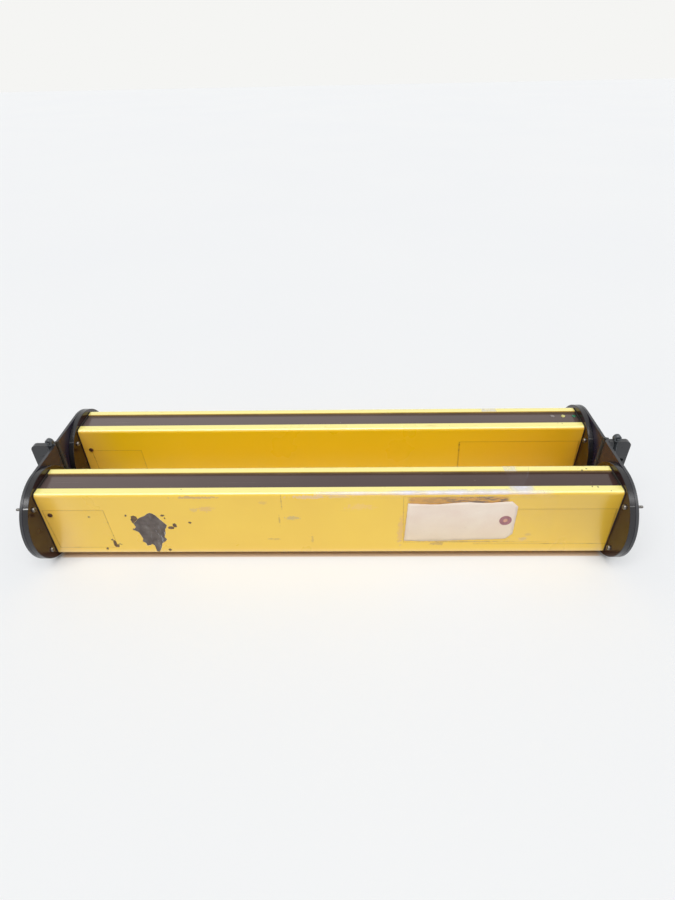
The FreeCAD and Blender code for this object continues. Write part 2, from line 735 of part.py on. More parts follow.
def make_bracket(bar, end):
    body = end_body(f"{bar}_{end}_bracket", bar, end)
    bend = new_sketch(body, "XY_Plane")
    outer_bend = "(dims.bend_radius + dims.plate_thickness)"
    centre_x = f"({CAP_OUT} + {outer_bend})"
    centre_y = f"({HALF_PITCH} - {outer_bend})"
    inner_face = f"({HALF_PITCH} - dims.plate_thickness)"
    corners = [
        (CAP_OUT, "0"),
        (PLATE_OUT, "0"),
        (PLATE_OUT, centre_y),
        (centre_x, inner_face, centre_x, centre_y, -1),
        (FLANGE_END, inner_face),
        (FLANGE_END, HALF_PITCH),
        (centre_x, HALF_PITCH),
        (CAP_OUT, centre_y, centre_x, centre_y, 1),
    ]
    add_outline(bend, corners)
    pad(body, "folded_sheet", bend, "2 * dims.disc_radius", both=True)
    reliefs = new_sketch(body, "XZ_Plane", z=negative(HALF_PITCH))
    relief_start = f"({centre_x} + dims.relief_gap)"
    edge = "(dims.disc_radius - dims.flange_relief)"
    beyond = "(dims.disc_radius + 1)"
    past_end = f"({FLANGE_END} + 1)"
    add_box(reliefs, relief_start, past_end, edge, beyond)
    add_box(reliefs, relief_start, past_end, negative(beyond), negative(edge))
    pocket(body, "flange_relief", reliefs, "4 * dims.plate_thickness", both=True)
    round_edges(body, "flange_corners", "dims.flange_corner", flange_corner_test(body))
    slots = new_sketch(body, "XZ_Plane", z=negative(HALF_PITCH))
    half_run = "((dims.slot_length - dims.slot_width) / 2)"
    middle = f"({PLATE_OUT} + dims.slot_reach)"
    near = f"({middle} - {half_run})"
    far = f"({middle} + {half_run})"
    for level in ("dims.slot_offset", negative("dims.slot_offset")):
        low = f"({level} - dims.slot_width / 2)"
        high = f"({level} + dims.slot_width / 2)"
        ends = [(far, low), (far, high, far, level, 1), (near, high), (near, low, near, level, 1)]
        add_outline(slots, ends)
    pocket(body, "slots", slots, "4 * dims.plate_thickness", both=True)
    end_sheet = new_sketch(body, "YZ_Plane", z=CAP_OUT)
    add_circle(end_sheet, "0", "0", "dims.disc_radius")
    pad(body, "round_end", end_sheet, "dims.plate_thickness")
    holes = new_sketch(body, "YZ_Plane", z=PLATE_OUT, turn=45)
    add_circle(holes, "dims.bolt_circle_radius", "0", "(dims.screw_radius + dims.fit_clearance)")
    hole = pocket(body, "screw_hole", holes)
    ring_of(body, "screw_holes", 4, [hole])
    if end == "right":
        add_receptacle_hole(body)


def flange_corner_test(body):
    """Tells whether an edge runs through the sheet at one of the flange's two free corners."""
    reach = float(body.evalExpression(FLANGE_END))
    height = float(body.evalExpression("dims.disc_radius - dims.flange_relief"))
    into_frame = body.Placement.inverse()

    def on_corner(edge):
        points = [into_frame.multVec(vertex.Point) for vertex in edge.Vertexes]
        at_end = all(abs(point.x - reach) < 1e-4 for point in points)
        at_top = all(abs(point.z - height) < 1e-4 for point in points)
        at_bottom = all(abs(point.z + height) < 1e-4 for point in points)
        return at_end and (at_top or at_bottom)

    return on_corner


# Fasteners. Each kind is made once, at the emitter's right end, lower front, and repeated.

def repeat_at_ends(body, y_spacing, z_spacing):
    """Copies one fastener to the four places of an end, then to the other bar and the other end."""
    row_of(body, "across", "Y_Axis", y_spacing, 2)
    row_of(body, "upwards", "Z_Axis", z_spacing, 2)
    mirrored(body, "other_bar", "XZ_Plane")
    mirrored(body, "other_end", "YZ_Plane")


def make_cap_screws():
    body = new_body("cap_screws")
    y = f"(-{HALF_PITCH} - {CAP_SCREW_Y})"
    profile = new_sketch(body, "XY_Plane", x=HALF_LENGTH, y=y, z=negative(CAP_SCREW_Z))
    add_outline(profile, countersunk_profile("0", "dims.cap_screw_length"))
    turned(body, "screw", profile)
    repeat_at_ends(body, f"2 * {CAP_SCREW_Y}", f"2 * {CAP_SCREW_Z}")


def bracket_fastener_sketch(body, role, station):
    y = f"(-{HALF_PITCH} - {BOLT_OFFSET})"
    z = f"-{BOLT_OFFSET}"
    x = f"({HALF_LENGTH} + {station})"
    if role == "XY_Plane":
        return new_sketch(body, role, x=x, y=y, z=z)
    return new_sketch(body, role, x=y, y=z, z=x)


def make_bracket_screws():
    body = new_body("bracket_screws")
    profile = bracket_fastener_sketch(body, "XY_Plane", CAP_IN)
    corners = [
        ("-dims.head_height", "0"),
        ("0", "0"),
        ("dims.screw_length", "0"),
        ("dims.screw_length", "(dims.screw_radius - dims.tip_chamfer)"),
        ("(dims.screw_length - dims.tip_chamfer)", "dims.screw_radius"),
        ("0", "dims.screw_radius"),
        ("0", "dims.head_radius"),
        ("(dims.head_edge - dims.head_height)", "dims.head_radius"),
        ("-dims.head_height", "(dims.head_radius - dims.head_edge)"),
    ]
    add_outline(profile, corners)
    turned(body, "screw", profile)
    repeat_at_ends(body, f"2 * {BOLT_OFFSET}", f"2 * {BOLT_OFFSET}")


def make_bracket_washers():
    body = new_body("bracket_washers")
    ring = bracket_fastener_sketch(body, "YZ_Plane", PLATE_OUT)
    add_circle(ring, "0", "0", "dims.washer_radius")
    add_circle(ring, "0", "0", "(dims.screw_radius + dims.thread_clearance)")
    pad(body, "washer", ring, "dims.washer_thickness")
    repeat_at_ends(body, f"2 * {BOLT_OFFSET}", f"2 * {BOLT_OFFSET}")


def make_bracket_nuts():
    body = new_body("bracket_nuts")
    hexagon = bracket_fastener_sketch(body, "YZ_Plane", f"{PLATE_OUT} + dims.washer_thickness")
    add_hexagon(hexagon, "dims.nut_width")
    add_circle(hexagon, "0", "0", "(dims.screw_radius + dims.thread_clearance)")
    pad(body, "nut", hexagon, "dims.nut_height")
    repeat_at_ends(body, f"2 * {BOLT_OFFSET}", f"2 * {BOLT_OFFSET}")


def make_side_screws():
    body = new_body("side_screws")
    front = f"(-{HALF_PITCH} - {SIDE})"
    profile = new_sketch(body, "XY_Plane", x=SIDE_SCREW_X, y=front, z=SIDE_SCREW_Z)
    corners = [
        ("0", "-dims.side_head_height"),
        ("(dims.side_head_radius - dims.side_head_height / 2)", "-dims.side_head_height"),
        ("dims.side_head_radius", "-dims.side_head_height / 2"),
        ("dims.side_head_radius", "0"),
        ("dims.side_screw_radius", "0"),
        ("dims.side_screw_radius", "dims.side_screw_length"),
        ("0", "dims.side_screw_length"),
    ]
    add_outline(profile, corners)
    turned(body, "screw", profile, "V_Axis")
    row_of(body, "both_bars", "Y_Axis", f"2 * {HALF_PITCH}", 2)


def make_side_screw_nuts():
    body = new_body("side_screw_nuts")
    inside = f"({HALF_PITCH} + {SIDE} - dims.wall_thickness)"
    hexagon = new_sketch(body, "XZ_Plane", x=SIDE_SCREW_X, y=SIDE_SCREW_Z, z=inside)
    add_hexagon(hexagon, "dims.side_nut_width")
    add_circle(hexagon, "0", "0", "(dims.side_screw_radius + dims.thread_clearance)")
    pad(body, "nut", hexagon, "dims.side_nut_height", backwards=True)
    row_of(body, "both_bars", "Y_Axis", f"2 * {HALF_PITCH}", 2)


# Receptacles. A turned shell goes through bracket and cap, its flange outside and a nut inside; the round
# insert in its bore holds five contact sleeves.

def make_receptacle(bar):
    shell = end_body(f"{bar}_receptacle", bar, "right")
    profile = new_sketch(shell, "XY_Plane")
    mouth = f"({PLATE_OUT} + dims.receptacle_flange + dims.receptacle_reach)"
    flange_face = f"({PLATE_OUT} + dims.receptacle_flange)"
    corners = [
        ("-dims.receptacle_tail", "0"),
        (f"({mouth} - dims.receptacle_bore_depth)", "0"),
        (f"({mouth} - dims.receptacle_bore_depth)", "dims.receptacle_bore_radius"),
        (mouth, "dims.receptacle_bore_radius"),
        (mouth, "dims.receptacle_radius"),
        (flange_face, "dims.receptacle_radius"),
        (flange_face, "dims.receptacle_flange_radius"),
        (PLATE_OUT, "dims.receptacle_flange_radius"),
        (PLATE_OUT, "dims.receptacle_thread_radius"),
        ("-dims.receptacle_tail", "dims.receptacle_thread_radius"),
    ]
    add_outline(profile, corners)
    turned(shell, "shell", profile)

    insert = end_body(f"{bar}_receptacle_insert", bar, "right")
    face = f"({mouth} - dims.insert_recess)"
    disc = new_sketch(insert, "YZ_Plane", z=face)
    add_circle(disc, "0", "0", "(dims.receptacle_bore_radius - dims.insert_gap)")
    depth = "(dims.receptacle_bore_depth - dims.insert_recess)"
    pad(insert, "disc", disc, depth, backwards=True)
    seat = new_sketch(insert, "YZ_Plane", z=face)
    add_circle(seat, "dims.contact_circle_radius", "0", "dims.contact_radius")
    hole = pocket(insert, "contact_seat", seat, "dims.contact_depth")
    ring_of(insert, "contact_seats", "dims.contact_count", [hole])

    contacts = end_body(f"{bar}_receptacle_contacts", bar, "right")
    sleeve = new_sketch(contacts, "YZ_Plane", z=face)
    add_circle(sleeve, "dims.contact_circle_radius", "0", "dims.contact_radius")
    add_circle(sleeve, "dims.contact_circle_radius", "0", "dims.contact_bore_radius")
    pad(contacts, "sleeve", sleeve, "dims.contact_depth", backwards=True)
    ring_of(contacts, "sleeves", "dims.contact_count")

    nut = end_body(f"{bar}_receptacle_nut", bar, "right")
    hexagon = new_sketch(nut, "YZ_Plane", z=CAP_IN)
    add_hexagon(hexagon, "dims.receptacle_nut_width")
    add_circle(hexagon, "0", "0", "dims.receptacle_thread_radius")
    pad(nut, "nut", hexagon, "dims.receptacle_nut_height", backwards=True)


# Cable ties. Each loops through the upper slots and over the flanges' top edge, with its head on top.

def make_cable_ties():
    body = new_body("cable_ties")
    middle = f"({HALF_LENGTH} + {PLATE_OUT} + dims.tie_reach)"
    loop = new_sketch(body, "YZ_Plane", z=middle)
    inner_y = "(dims.plate_thickness + dims.tie_slack)"
    inner_low = "(dims.slot_offset + dims.slot_width / 2 - dims.tie_drop)"
    inner_high = "(dims.disc_radius - dims.flange_relief + dims.tie_slack)"
    outer_high = f"({inner_high} + dims.tie_thickness)"
    add_rounded_box(loop, inner_y, inner_low, inner_high, "dims.tie_corner")
    add_rounded_box(
        loop,
        f"({inner_y} + dims.tie_thickness)",
        f"({inner_low} - dims.tie_thickness)",
        outer_high,
        "(dims.tie_corner + dims.tie_thickness)",
    )
    pad(body, "loop", loop, "dims.tie_width", both=True)
    base = f"({outer_high} - dims.tie_thickness / 2)"
    head = new_sketch(body, "XY_Plane", x=middle, y="dims.tie_head_shift", z=base)
    add_centred_box(head, "dims.tie_head_length", "dims.tie_head_width")
    pad(body, "head", head, "(dims.tie_head_height + dims.tie_thickness / 2)")
    tail = new_sketch(body, "XY_Plane", x=middle, y="dims.tie_head_shift", z=base)
    add_centred_box(tail, "dims.tie_width", "dims.tie_thickness")
    pad(body, "tail", tail, "(dims.tie_head_height + dims.tie_thickness / 2 + dims.tie_tail)")
    mirrored(body, "other_end", "YZ_Plane")


# Paper tag with clipped right corners and a reinforcing ring, flat on the emitter's front face.

def tag_rotation():
    return Rotation(Vector(0, -1, 0), SIZES["tag_tilt"])


def make_tag():
    front = f"(-{HALF_PITCH} - {SIDE})"
    level = "(dims.disc_radius + dims.tag_height)"
    middle = f"({HALF_LENGTH} - dims.tag_inset)"
    ring_x = "(dims.tag_length / 2 - dims.ring_inset)"
    tag = new_body("paper_tag", middle, front, level, tag_rotation())
    sheet = new_sketch(tag, "XZ_Plane")
    half_length = "(dims.tag_length / 2)"
    half_width = "(dims.tag_width / 2)"
    clip_x = f"({half_length} - dims.tag_clip)"
    clip_z = f"({half_width} - dims.tag_clip)"
    corners = [
        (negative(half_length), negative(half_width)),
        (clip_x, negative(half_width)),
        (half_length, negative(clip_z)),
        (half_length, clip_z),
        (clip_x, half_width),
        (negative(half_length), half_width),
    ]
    add_outline(sheet, corners)
    add_circle(sheet, ring_x, "0", "dims.ring_hole_radius")
    pad(tag, "sheet", sheet, "dims.tag_thickness")
    ring = new_body("tag_ring", middle, front, level, tag_rotation())
    rings = new_sketch(ring, "XZ_Plane", z="dims.tag_thickness")
    add_circle(rings, ring_x, "0", "dims.ring_radius")
    add_circle(rings, ring_x, "0", "dims.ring_hole_radius")
    pad(ring, "ring", rings, "dims.ring_thickness")


for bar in BARS:
    make_housing(bar)
    make_window(bar, 3 if bar == "receiver" else 0)
    make_window_seals(bar)
    make_lens_strip(bar)
    make_carrier(bar)
    make_board(bar)
    make_diodes(bar)
    make_chips(bar)
    make_board_header(bar)
    make_cap_gaskets(bar)
    make_receptacle(bar)
    for end in ENDS:
        make_cap(bar, end)
        make_bracket(bar, end)
for number, colour in enumerate(("clear", "yellow", "green")):
    make_lamp(colour, number)
make_cap_screws()
make_bracket_screws()
make_bracket_washers()
make_bracket_nuts()
make_side_screws()
make_side_screw_nuts()
make_cable_ties()
make_tag()
doc.recompute()

for item in doc.Objects:
    if "Invalid" in item.State or "Error" in item.State:
        raise RuntimeError(f"{item.Label} could not be built")
for node in nodes:
    if node.Shape.isNull() or not node.Shape.isValid():
        raise RuntimeError(f"{node.Label} has no valid shape")

os.makedirs("parts", exist_ok=True)
for node in nodes:
    node.Shape.exportStep(f"parts/{node.Label}.step")
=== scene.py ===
import math
import random
from itertools import product

import bmesh
import bpy
from mathutils import Matrix, Vector
from mathutils.geometry import delaunay_2d_cdt


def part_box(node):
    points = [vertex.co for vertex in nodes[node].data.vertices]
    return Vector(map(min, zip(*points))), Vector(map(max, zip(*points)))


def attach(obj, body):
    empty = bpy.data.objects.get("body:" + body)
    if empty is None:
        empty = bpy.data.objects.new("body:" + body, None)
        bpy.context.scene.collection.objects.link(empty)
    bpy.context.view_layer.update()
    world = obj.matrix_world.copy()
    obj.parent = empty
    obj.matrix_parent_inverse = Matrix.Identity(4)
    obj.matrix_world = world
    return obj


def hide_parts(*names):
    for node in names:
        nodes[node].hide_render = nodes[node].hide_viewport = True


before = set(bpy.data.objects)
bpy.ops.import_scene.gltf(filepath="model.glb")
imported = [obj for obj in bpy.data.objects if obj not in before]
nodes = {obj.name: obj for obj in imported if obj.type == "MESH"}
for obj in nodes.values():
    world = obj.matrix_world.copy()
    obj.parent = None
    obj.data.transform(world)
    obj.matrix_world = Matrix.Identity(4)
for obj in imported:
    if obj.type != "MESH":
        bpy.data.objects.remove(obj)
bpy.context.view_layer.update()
scene = bpy.context.scene
scene.view_settings.view_transform = "Standard"


# Bench, light and camera.
# The bars lie on a pale bench in front of a pale wall. Two wide soft lamps hang above and a little in front, a
# smaller one stands farther out on each side, and the rest of the light comes evenly from the room.

def rgb(red, green, blue):
    """A colour as it is read off a screen, 0 to 255, turned into the values that a shader takes."""
    def linear(v):
        v = v / 255
        return v / 12.92 if v <= 0.04045 else ((v + 0.055) / 1.055) ** 2.4
    return (linear(red), linear(green), linear(blue), 1.0)


def put(tree, kind, inputs=None, **settings):
    """Adds one node to a tree, sets its options, and fills its sockets with values or with links. A node that is
    given as a value stands for its first output."""
    node = tree.nodes.new(kind)
    for option, value in settings.items():
        setattr(node, option, value)
    for socket, value in (inputs or {}).items():
        if isinstance(value, bpy.types.Node):
            value = value.outputs[0]
        if isinstance(value, bpy.types.NodeSocket):
            tree.links.new(value, node.inputs[socket])
        else:
            node.inputs[socket].default_value = value
    return node


def calc(tree, operation, first, second=0.0):
    return put(tree, "ShaderNodeMath", {0: first, 1: second}, operation=operation).outputs[0]


def times(tree, first, *more):
    for factor in more:
        first = calc(tree, "MULTIPLY", first, factor)
    return first


def parts(tree, vector):
    return put(tree, "ShaderNodeSeparateXYZ", {0: vector}).outputs


def where(tree):
    """The place in the object's own frame, in metres: along the bars, across them, and up."""
    return parts(tree, put(tree, "ShaderNodeTexCoord").outputs["Object"])


def ramp(tree, value, low, high, at_low=0.0, at_high=1.0, smooth=False):
    """Leads from at_low to at_high while value goes from low to high, and stays level outside."""
    return put(tree, "ShaderNodeMapRange", {"Value": value, "From Min": low, "From Max": high, "To Min": at_low,
                                            "To Max": at_high},
               interpolation_type="SMOOTHSTEP" if smooth else "LINEAR").outputs[0]


def between(tree, value, low, high, soft):
    """1 where value lies between low and high, 0 outside, with soft edges."""
    return times(tree, ramp(tree, value, low - soft, low + soft, smooth=True),
                 ramp(tree, value, high - soft, high + soft, 1.0, 0.0, smooth=True))


def blend(tree, under, over, mask, strength=1.0):
    """Mixes two colours. Each is a link, or red, green and blue as they are read off a screen."""
    under, over = [rgb(*colour) if isinstance(colour, tuple) else colour for colour in (under, over)]
    if strength != 1.0:
        mask = times(tree, mask, strength)
    return put(tree, "ShaderNodeMix", {0: mask, 6: under, 7: over}, data_type="RGBA").outputs[2]


def camera_sees(tree):
    """1 for rays that come straight from the camera, off a glossy surface or through a clear one."""
    path = put(tree, "ShaderNodeLightPath")
    return calc(tree, "MAXIMUM", path.outputs["Is Camera Ray"],
                calc(tree, "MAXIMUM", path.outputs["Is Glossy Ray"], path.outputs["Is Transmission Ray"]))


def new_material(name):
    material = bpy.data.materials.new(name)
    material.use_nodes = True
    material.node_tree.nodes.clear()
    return material, material.node_tree


room = bpy.data.worlds.new("room")
scene.world = room
room.use_nodes = True
tree = room.node_tree
tree.nodes.clear()
room_light = put(tree, "ShaderNodeBackground", {"Color": (0.98, 0.99, 1.0, 1.0), "Strength": 0.35})
room_wall = put(tree, "ShaderNodeBackground", {"Color": rgb(245, 245, 243), "Strength": 1.0})
either = put(tree, "ShaderNodeMixShader", {0: camera_sees(tree), 1: room_light, 2: room_wall})
put(tree, "ShaderNodeOutputWorld", {"Surface": either})

# Name, strength, width and lean to the side, in degrees. All lamps lean towards the front by the same angle.
LAMPS = [("left_lamp", 1.06, 30, -12), ("right_lamp", 1.02, 30, 12), ("far_left_lamp", 0.28, 14, -34),
         ("far_right_lamp", 0.10, 14, 34)]
LAMP_FORWARD = math.radians(22.4)
for name, energy, width, aside in LAMPS:
    lamp_data = bpy.data.lights.new(name, "SUN")
    lamp_data.energy = energy
    lamp_data.angle = math.radians(width)
    lamp = bpy.data.objects.new(name, lamp_data)
    lamp.rotation_euler = (LAMP_FORWARD, math.radians(aside), 0)
    scene.collection.objects.link(lamp)

BENCH_REACH = 9
BENCH_TOP = -0.0002
BENCH_GLOW = 0.28
bench_mesh = bpy.data.meshes.new("bench")
bench_mesh.from_pydata([(x * BENCH_REACH, y * BENCH_REACH, BENCH_TOP) for x, y in ((-1, -1), (1, -1), (1, 1), (-1, 1))],
                       [], [(0, 1, 2, 3)])
bench = bpy.data.objects.new("bench", bench_mesh)
scene.collection.objects.link(bench)
bench_finish, tree = new_material("bench_laminate")
place = put(tree, "ShaderNodeTexCoord")
cloudy = put(tree, "ShaderNodeTexNoise", {"Vector": place.outputs["Object"], "Scale": 1.4, "Detail": 3.0})
laminate = blend(tree, (235, 237, 240), (241, 242, 242), cloudy.outputs["Fac"])
at = where(tree)
# Painted shadow: under each bar, where the bench is seen between the discs, it is painted brown as the bar's shade.
painted_bar_shadow = times(tree, between(tree, at[0], -0.306, 0.306, 0.004),
               between(tree, calc(tree, "ABSOLUTE", at[1]), 0.040, 0.080, 0.0012))
laminate = blend(tree, laminate, (190, 152, 104), painted_bar_shadow, 0.72)
surface = put(tree, "ShaderNodeBsdfPrincipled", {"Base Color": laminate, "Roughness": 0.55, "Specular IOR Level": 0.25})
# It glows a little to the camera, but not under the object, where its shadow lies.
white = put(tree, "ShaderNodeEmission", {"Color": rgb(243, 244, 245), "Strength": 1.0})
covered = times(tree, between(tree, at[0], -0.315, 0.315, 0.01), between(tree, at[1], -0.082, 0.082, 0.004))
glow = calc(tree, "SUBTRACT", BENCH_GLOW, times(tree, covered, BENCH_GLOW))
bright = put(tree, "ShaderNodeMixShader", {0: times(tree, camera_sees(tree), glow), 1: surface, 2: white})
put(tree, "ShaderNodeOutputMaterial", {"Surface": bright})
bench_mesh.materials.append(bench_finish)

# The camera stands in front of the bars, a little to the right, looks down and is tipped very slightly.
IMAGE_HEIGHT = 900
FOCAL_LENGTH = 549
FILM_HEIGHT = 36
camera_data = bpy.data.cameras.new("camera")
camera_data.sensor_fit = "VERTICAL"
camera_data.sensor_height = FILM_HEIGHT
camera_data.lens = FOCAL_LENGTH / IMAGE_HEIGHT * FILM_HEIGHT
camera_data.clip_start = 0.01
camera_data.clip_end = 60
camera = bpy.data.objects.new("camera", camera_data)
down, turn, roll = math.radians(36.4), math.radians(-1.50), math.radians(-1.28)
ahead = Vector((math.sin(turn) * math.cos(down), math.cos(turn) * math.cos(down), -math.sin(down)))
level = Vector((math.cos(turn), -math.sin(turn), 0))
upward = level.cross(ahead)
right = math.cos(roll) * level + math.sin(roll) * upward
up = -math.sin(roll) * level + math.cos(roll) * upward
stand = Matrix.Translation((0.0244, -0.5096, 0.467))
camera.matrix_world = stand @ Matrix((right, up, -ahead)).transposed().to_4x4()
scene.collection.objects.link(camera)
scene.camera = camera


# Housings.
# Each bar's housing is one aluminium extrusion, sawn to length and powder coated bright yellow.
# Years of use have left specks, rubs and a little bare edge, and dark smudges above the paper tag, in a band of
# painted shade under the tape's edge. The paint's tone also holds painted light and shade.

MM = 0.001
BAR_Y = 59 * MM
BAR_HALF_WIDTH = 23 * MM
BAR_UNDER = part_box("emitter_housing")[0][2]
BAR_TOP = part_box("emitter_housing")[1][2]
CORNER = 4 * MM


def new_group(name, inputs, outputs):
    """An effect that several materials use. Its inputs are numbers, or vectors where the value is a tuple."""
    group = bpy.data.node_groups.new(name, "ShaderNodeTree")
    for label, value in inputs.items():
        kind = "NodeSocketVector" if isinstance(value, tuple) else "NodeSocketFloat"
        group.interface.new_socket(label, in_out="INPUT", socket_type=kind).default_value = value
    for label in outputs:
        group.interface.new_socket(label, in_out="OUTPUT", socket_type="NodeSocketFloat")
    place = put(group, "ShaderNodeTexCoord").outputs["Object"]
    return group, group.nodes.new("NodeGroupInput").outputs, group.nodes.new("NodeGroupOutput").inputs, place


# Grain: the small unevenness of a painted, moulded or rolled surface, with a broader cloudiness.
grain, given, result, place = new_group("surface_grain", {"Grains Per Metre": 900.0, "Clouds Per Metre": 25.0},
                                        ["Height", "Cloud"])
fine = put(grain, "ShaderNodeTexNoise", {"Vector": place, "Scale": given[0], "Detail": 2.0, "Roughness": 0.55})
broad = put(grain, "ShaderNodeTexNoise", {"Vector": place, "Scale": given[1], "Detail": 4.0})
grain.links.new(fine.outputs["Fac"], result["Height"])
grain.links.new(ramp(grain, broad.outputs["Fac"], 0.3, 0.7), result["Cloud"])

# Rubs: short streaks that run mostly one way, left by handling and by other things sliding past.
rubs, given, result, place = new_group("rubs", {"Streaks Per Metre": (30.0, 200.0, 200.0), "Share": 0.2, "Seed": 0.0},
                                       ["Mask"])
spread = put(rubs, "ShaderNodeVectorMath", {0: place, 1: given[0]}, operation="MULTIPLY")
streaks = put(rubs, "ShaderNodeTexNoise", {"Vector": spread, "W": given[2], "Scale": 1.0, "Detail": 5.0,
                                           "Roughness": 0.65}, noise_dimensions="4D")
low = calc(rubs, "SUBTRACT", 0.78, times(rubs, given[1], 0.4))
rubs.links.new(ramp(rubs, streaks.outputs["Fac"], low, calc(rubs, "ADD", low, 0.08), smooth=True), result["Mask"])

# Specks: a few small dots, where grit has struck or dirt has dried on.
specks, given, result, place = new_group("specks", {"Specks Per Metre": 60.0, "Radius": 0.05, "Share": 0.3}, ["Mask"])
bent = put(specks, "ShaderNodeTexNoise", {"Vector": place, "Scale": 900.0, "Detail": 2.0})
nudge = put(specks, "ShaderNodeVectorMath", {0: bent.outputs["Color"], "Scale": 0.0012}, operation="SCALE")
nudged = put(specks, "ShaderNodeVectorMath", {0: place, 1: nudge}, operation="ADD")
cells = put(specks, "ShaderNodeTexVoronoi", {"Vector": nudged, "Scale": given[0]})
pick = put(specks, "ShaderNodeSeparateColor", {0: cells.outputs["Color"]}).outputs
chosen = calc(specks, "LESS_THAN", pick[0], given[2])
size = times(specks, given[1], calc(specks, "ADD", pick[1], 0.3))
dot = calc(specks, "LESS_THAN", cells.outputs["Distance"], size)
specks.links.new(times(specks, dot, chosen), result["Mask"])


def grained(tree, grains, clouds):
    """The grain's outputs: Height for a bump, and Cloud, the broad unevenness."""
    return put(tree, "ShaderNodeGroup", {0: grains, 1: clouds}, node_tree=grain).outputs


def rubbed(tree, streaks_per_metre, share, seed):
    return put(tree, "ShaderNodeGroup", {0: streaks_per_metre, 1: share, 2: seed}, node_tree=rubs)


def specked(tree, per_metre, radius, share):
    return put(tree, "ShaderNodeGroup", {0: per_metre, 1: radius, 2: share}, node_tree=specks)


def shade(tree, colour, roughness, relief=None, more=None):
    """The surface itself, led to the material's output. The relief is a grain's outputs, a strength and a depth."""
    sockets = {"Base Color": colour, "Roughness": roughness, **(more or {})}
    if relief:
        texture, strength, depth = relief
        sockets["Normal"] = put(tree, "ShaderNodeBump", {"Strength": strength, "Distance": depth,
                                                         "Height": texture["Height"]})
    put(tree, "ShaderNodeOutputMaterial", {"Surface": put(tree, "ShaderNodeBsdfPrincipled", sockets)})


yellow_paint, tree = new_material("yellow_paint")
texture = grained(tree, 1100.0, 14.0)
paint = blend(tree, (239, 194, 22), (244, 201, 30), texture["Cloud"])
at = where(tree)
from_axis = calc(tree, "ABSOLUTE", calc(tree, "SUBTRACT", calc(tree, "ABSOLUTE", at[1]), BAR_Y))
long_edge = ramp(tree, calc(tree, "ADD", from_axis, at[2]), BAR_HALF_WIDTH + BAR_TOP - CORNER * 0.75,
                 BAR_HALF_WIDTH + BAR_TOP - CORNER * 0.6)
worn = times(tree, long_edge, rubbed(tree, (18.0, 260.0, 260.0), 0.32, 3.0))
scuffs = rubbed(tree, (11.0, 90.0, 120.0), 0.34, 8.0)
dirt = specked(tree, 85.0, 0.05, 0.45)
# Painted shade: a darker orange band above the tag, under the tape's edge, with dark smudges in its right part.
painted_tape_shade = times(tree, between(tree, at[0], 0.086, 0.188, 0.003),
              between(tree, at[2], BAR_UNDER + 0.0715, BAR_UNDER + 0.0826, 0.0015),
              calc(tree, "LESS_THAN", at[1], -0.07))
smear = rubbed(tree, (60.0, 200.0, 300.0), 0.72, 1.0)
broken = calc(tree, "SUBTRACT", grained(tree, 420.0, 25.0)["Height"], 0.5)


def from_spot(tree, first, second, first_half, second_half):
    """How far a place is from a spot, 1 on the rim of the ellipse with these half widths. Each of the first two is
    a coordinate and the spot's own."""
    shares = [calc(tree, "DIVIDE", calc(tree, "SUBTRACT", value, middle), half)
              for (value, middle), half in ((first, first_half), (second, second_half))]
    return calc(tree, "SQRT", calc(tree, "ADD", *[times(tree, share, share) for share in shares]))


# Marks on the front bar's face: middle along the bar, height above the underside, half width, half height, in
# millimetres, then how strong it is and its colour. Those along the tag's bottom and left edges, at 79.5, 100,
# 119.6 and 150 along, are partly the tape's dirty edge and partly painted shadow of the tag. The last one shows
# through the hole of the tag.
ring_low, ring_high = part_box("tag_ring")
MARKS = [(-127.6, 67.4, 5.5, 2.2, 0.50, (216, 166, 104)), (-141.0, 66.0, 2.2, 1.8, 0.45, (206, 172, 112)),
         (-136.6, 83.4, 14.0, 1.0, 0.60, (178, 140, 104)), (-46.8, 78.0, 0.5, 6.5, 0.60, (176, 132, 46)),
         (-50.6, 51.0, 0.5, 4.5, 0.55, (176, 132, 46)), (-35.9, 53.9, 4.6, 1.7, 0.60, (182, 160, 112)),
         (-20.5, 83.2, 12.0, 1.5, 0.65, (222, 188, 156)), (-59.0, 22.4, 4.6, 0.8, 0.55, (194, 150, 58)),
         (-16.4, 22.2, 0.9, 3.8, 0.50, (190, 148, 62)), (35.4, 69.2, 9.0, 2.6, 0.35, (240, 190, 120)),
         (12.0, 83.6, 9.0, 0.9, 0.50, (224, 184, 144)), (-66.0, 76.0, 3.0, 1.6, 0.35, (204, 158, 90)),
         (119.6, 14.5, 5.5, 1.5, 0.60, (172, 132, 60)), (213.2, 21.4, 2.8, 1.6, 0.55, (204, 170, 128)),
         (217.5, 27.6, 1.8, 1.3, 0.40, (190, 150, 96)), (79.5, 34.0, 1.8, 13.0, 0.55, (216, 166, 104)),
         (150.0, 17.6, 29.0, 0.45, 0.60, (170, 128, 62)), (100.0, 19.2, 16.0, 0.5, 0.45, (192, 146, 80)),
         ((ring_low[0] + ring_high[0]) / 2 / MM, ((ring_low[2] + ring_high[2]) / 2 - BAR_UNDER) / MM, 3.0, 3.0, 0.9,
          (220, 160, 148))]
on_face = calc(tree, "LESS_THAN", at[1], -0.08)
for x, z, half_width, half_height, strength, colour in MARKS:
    reach = from_spot(tree, (at[0], x * MM), (at[2], BAR_UNDER + z * MM), half_width * MM, half_height * MM)
    ragged = calc(tree, "ADD", reach, times(tree, broken, 4.0))
    spot = ramp(tree, ragged, 1.0, 1.9, strength, 0.0, smooth=True)
    paint = blend(tree, paint, colour, times(tree, spot, on_face))

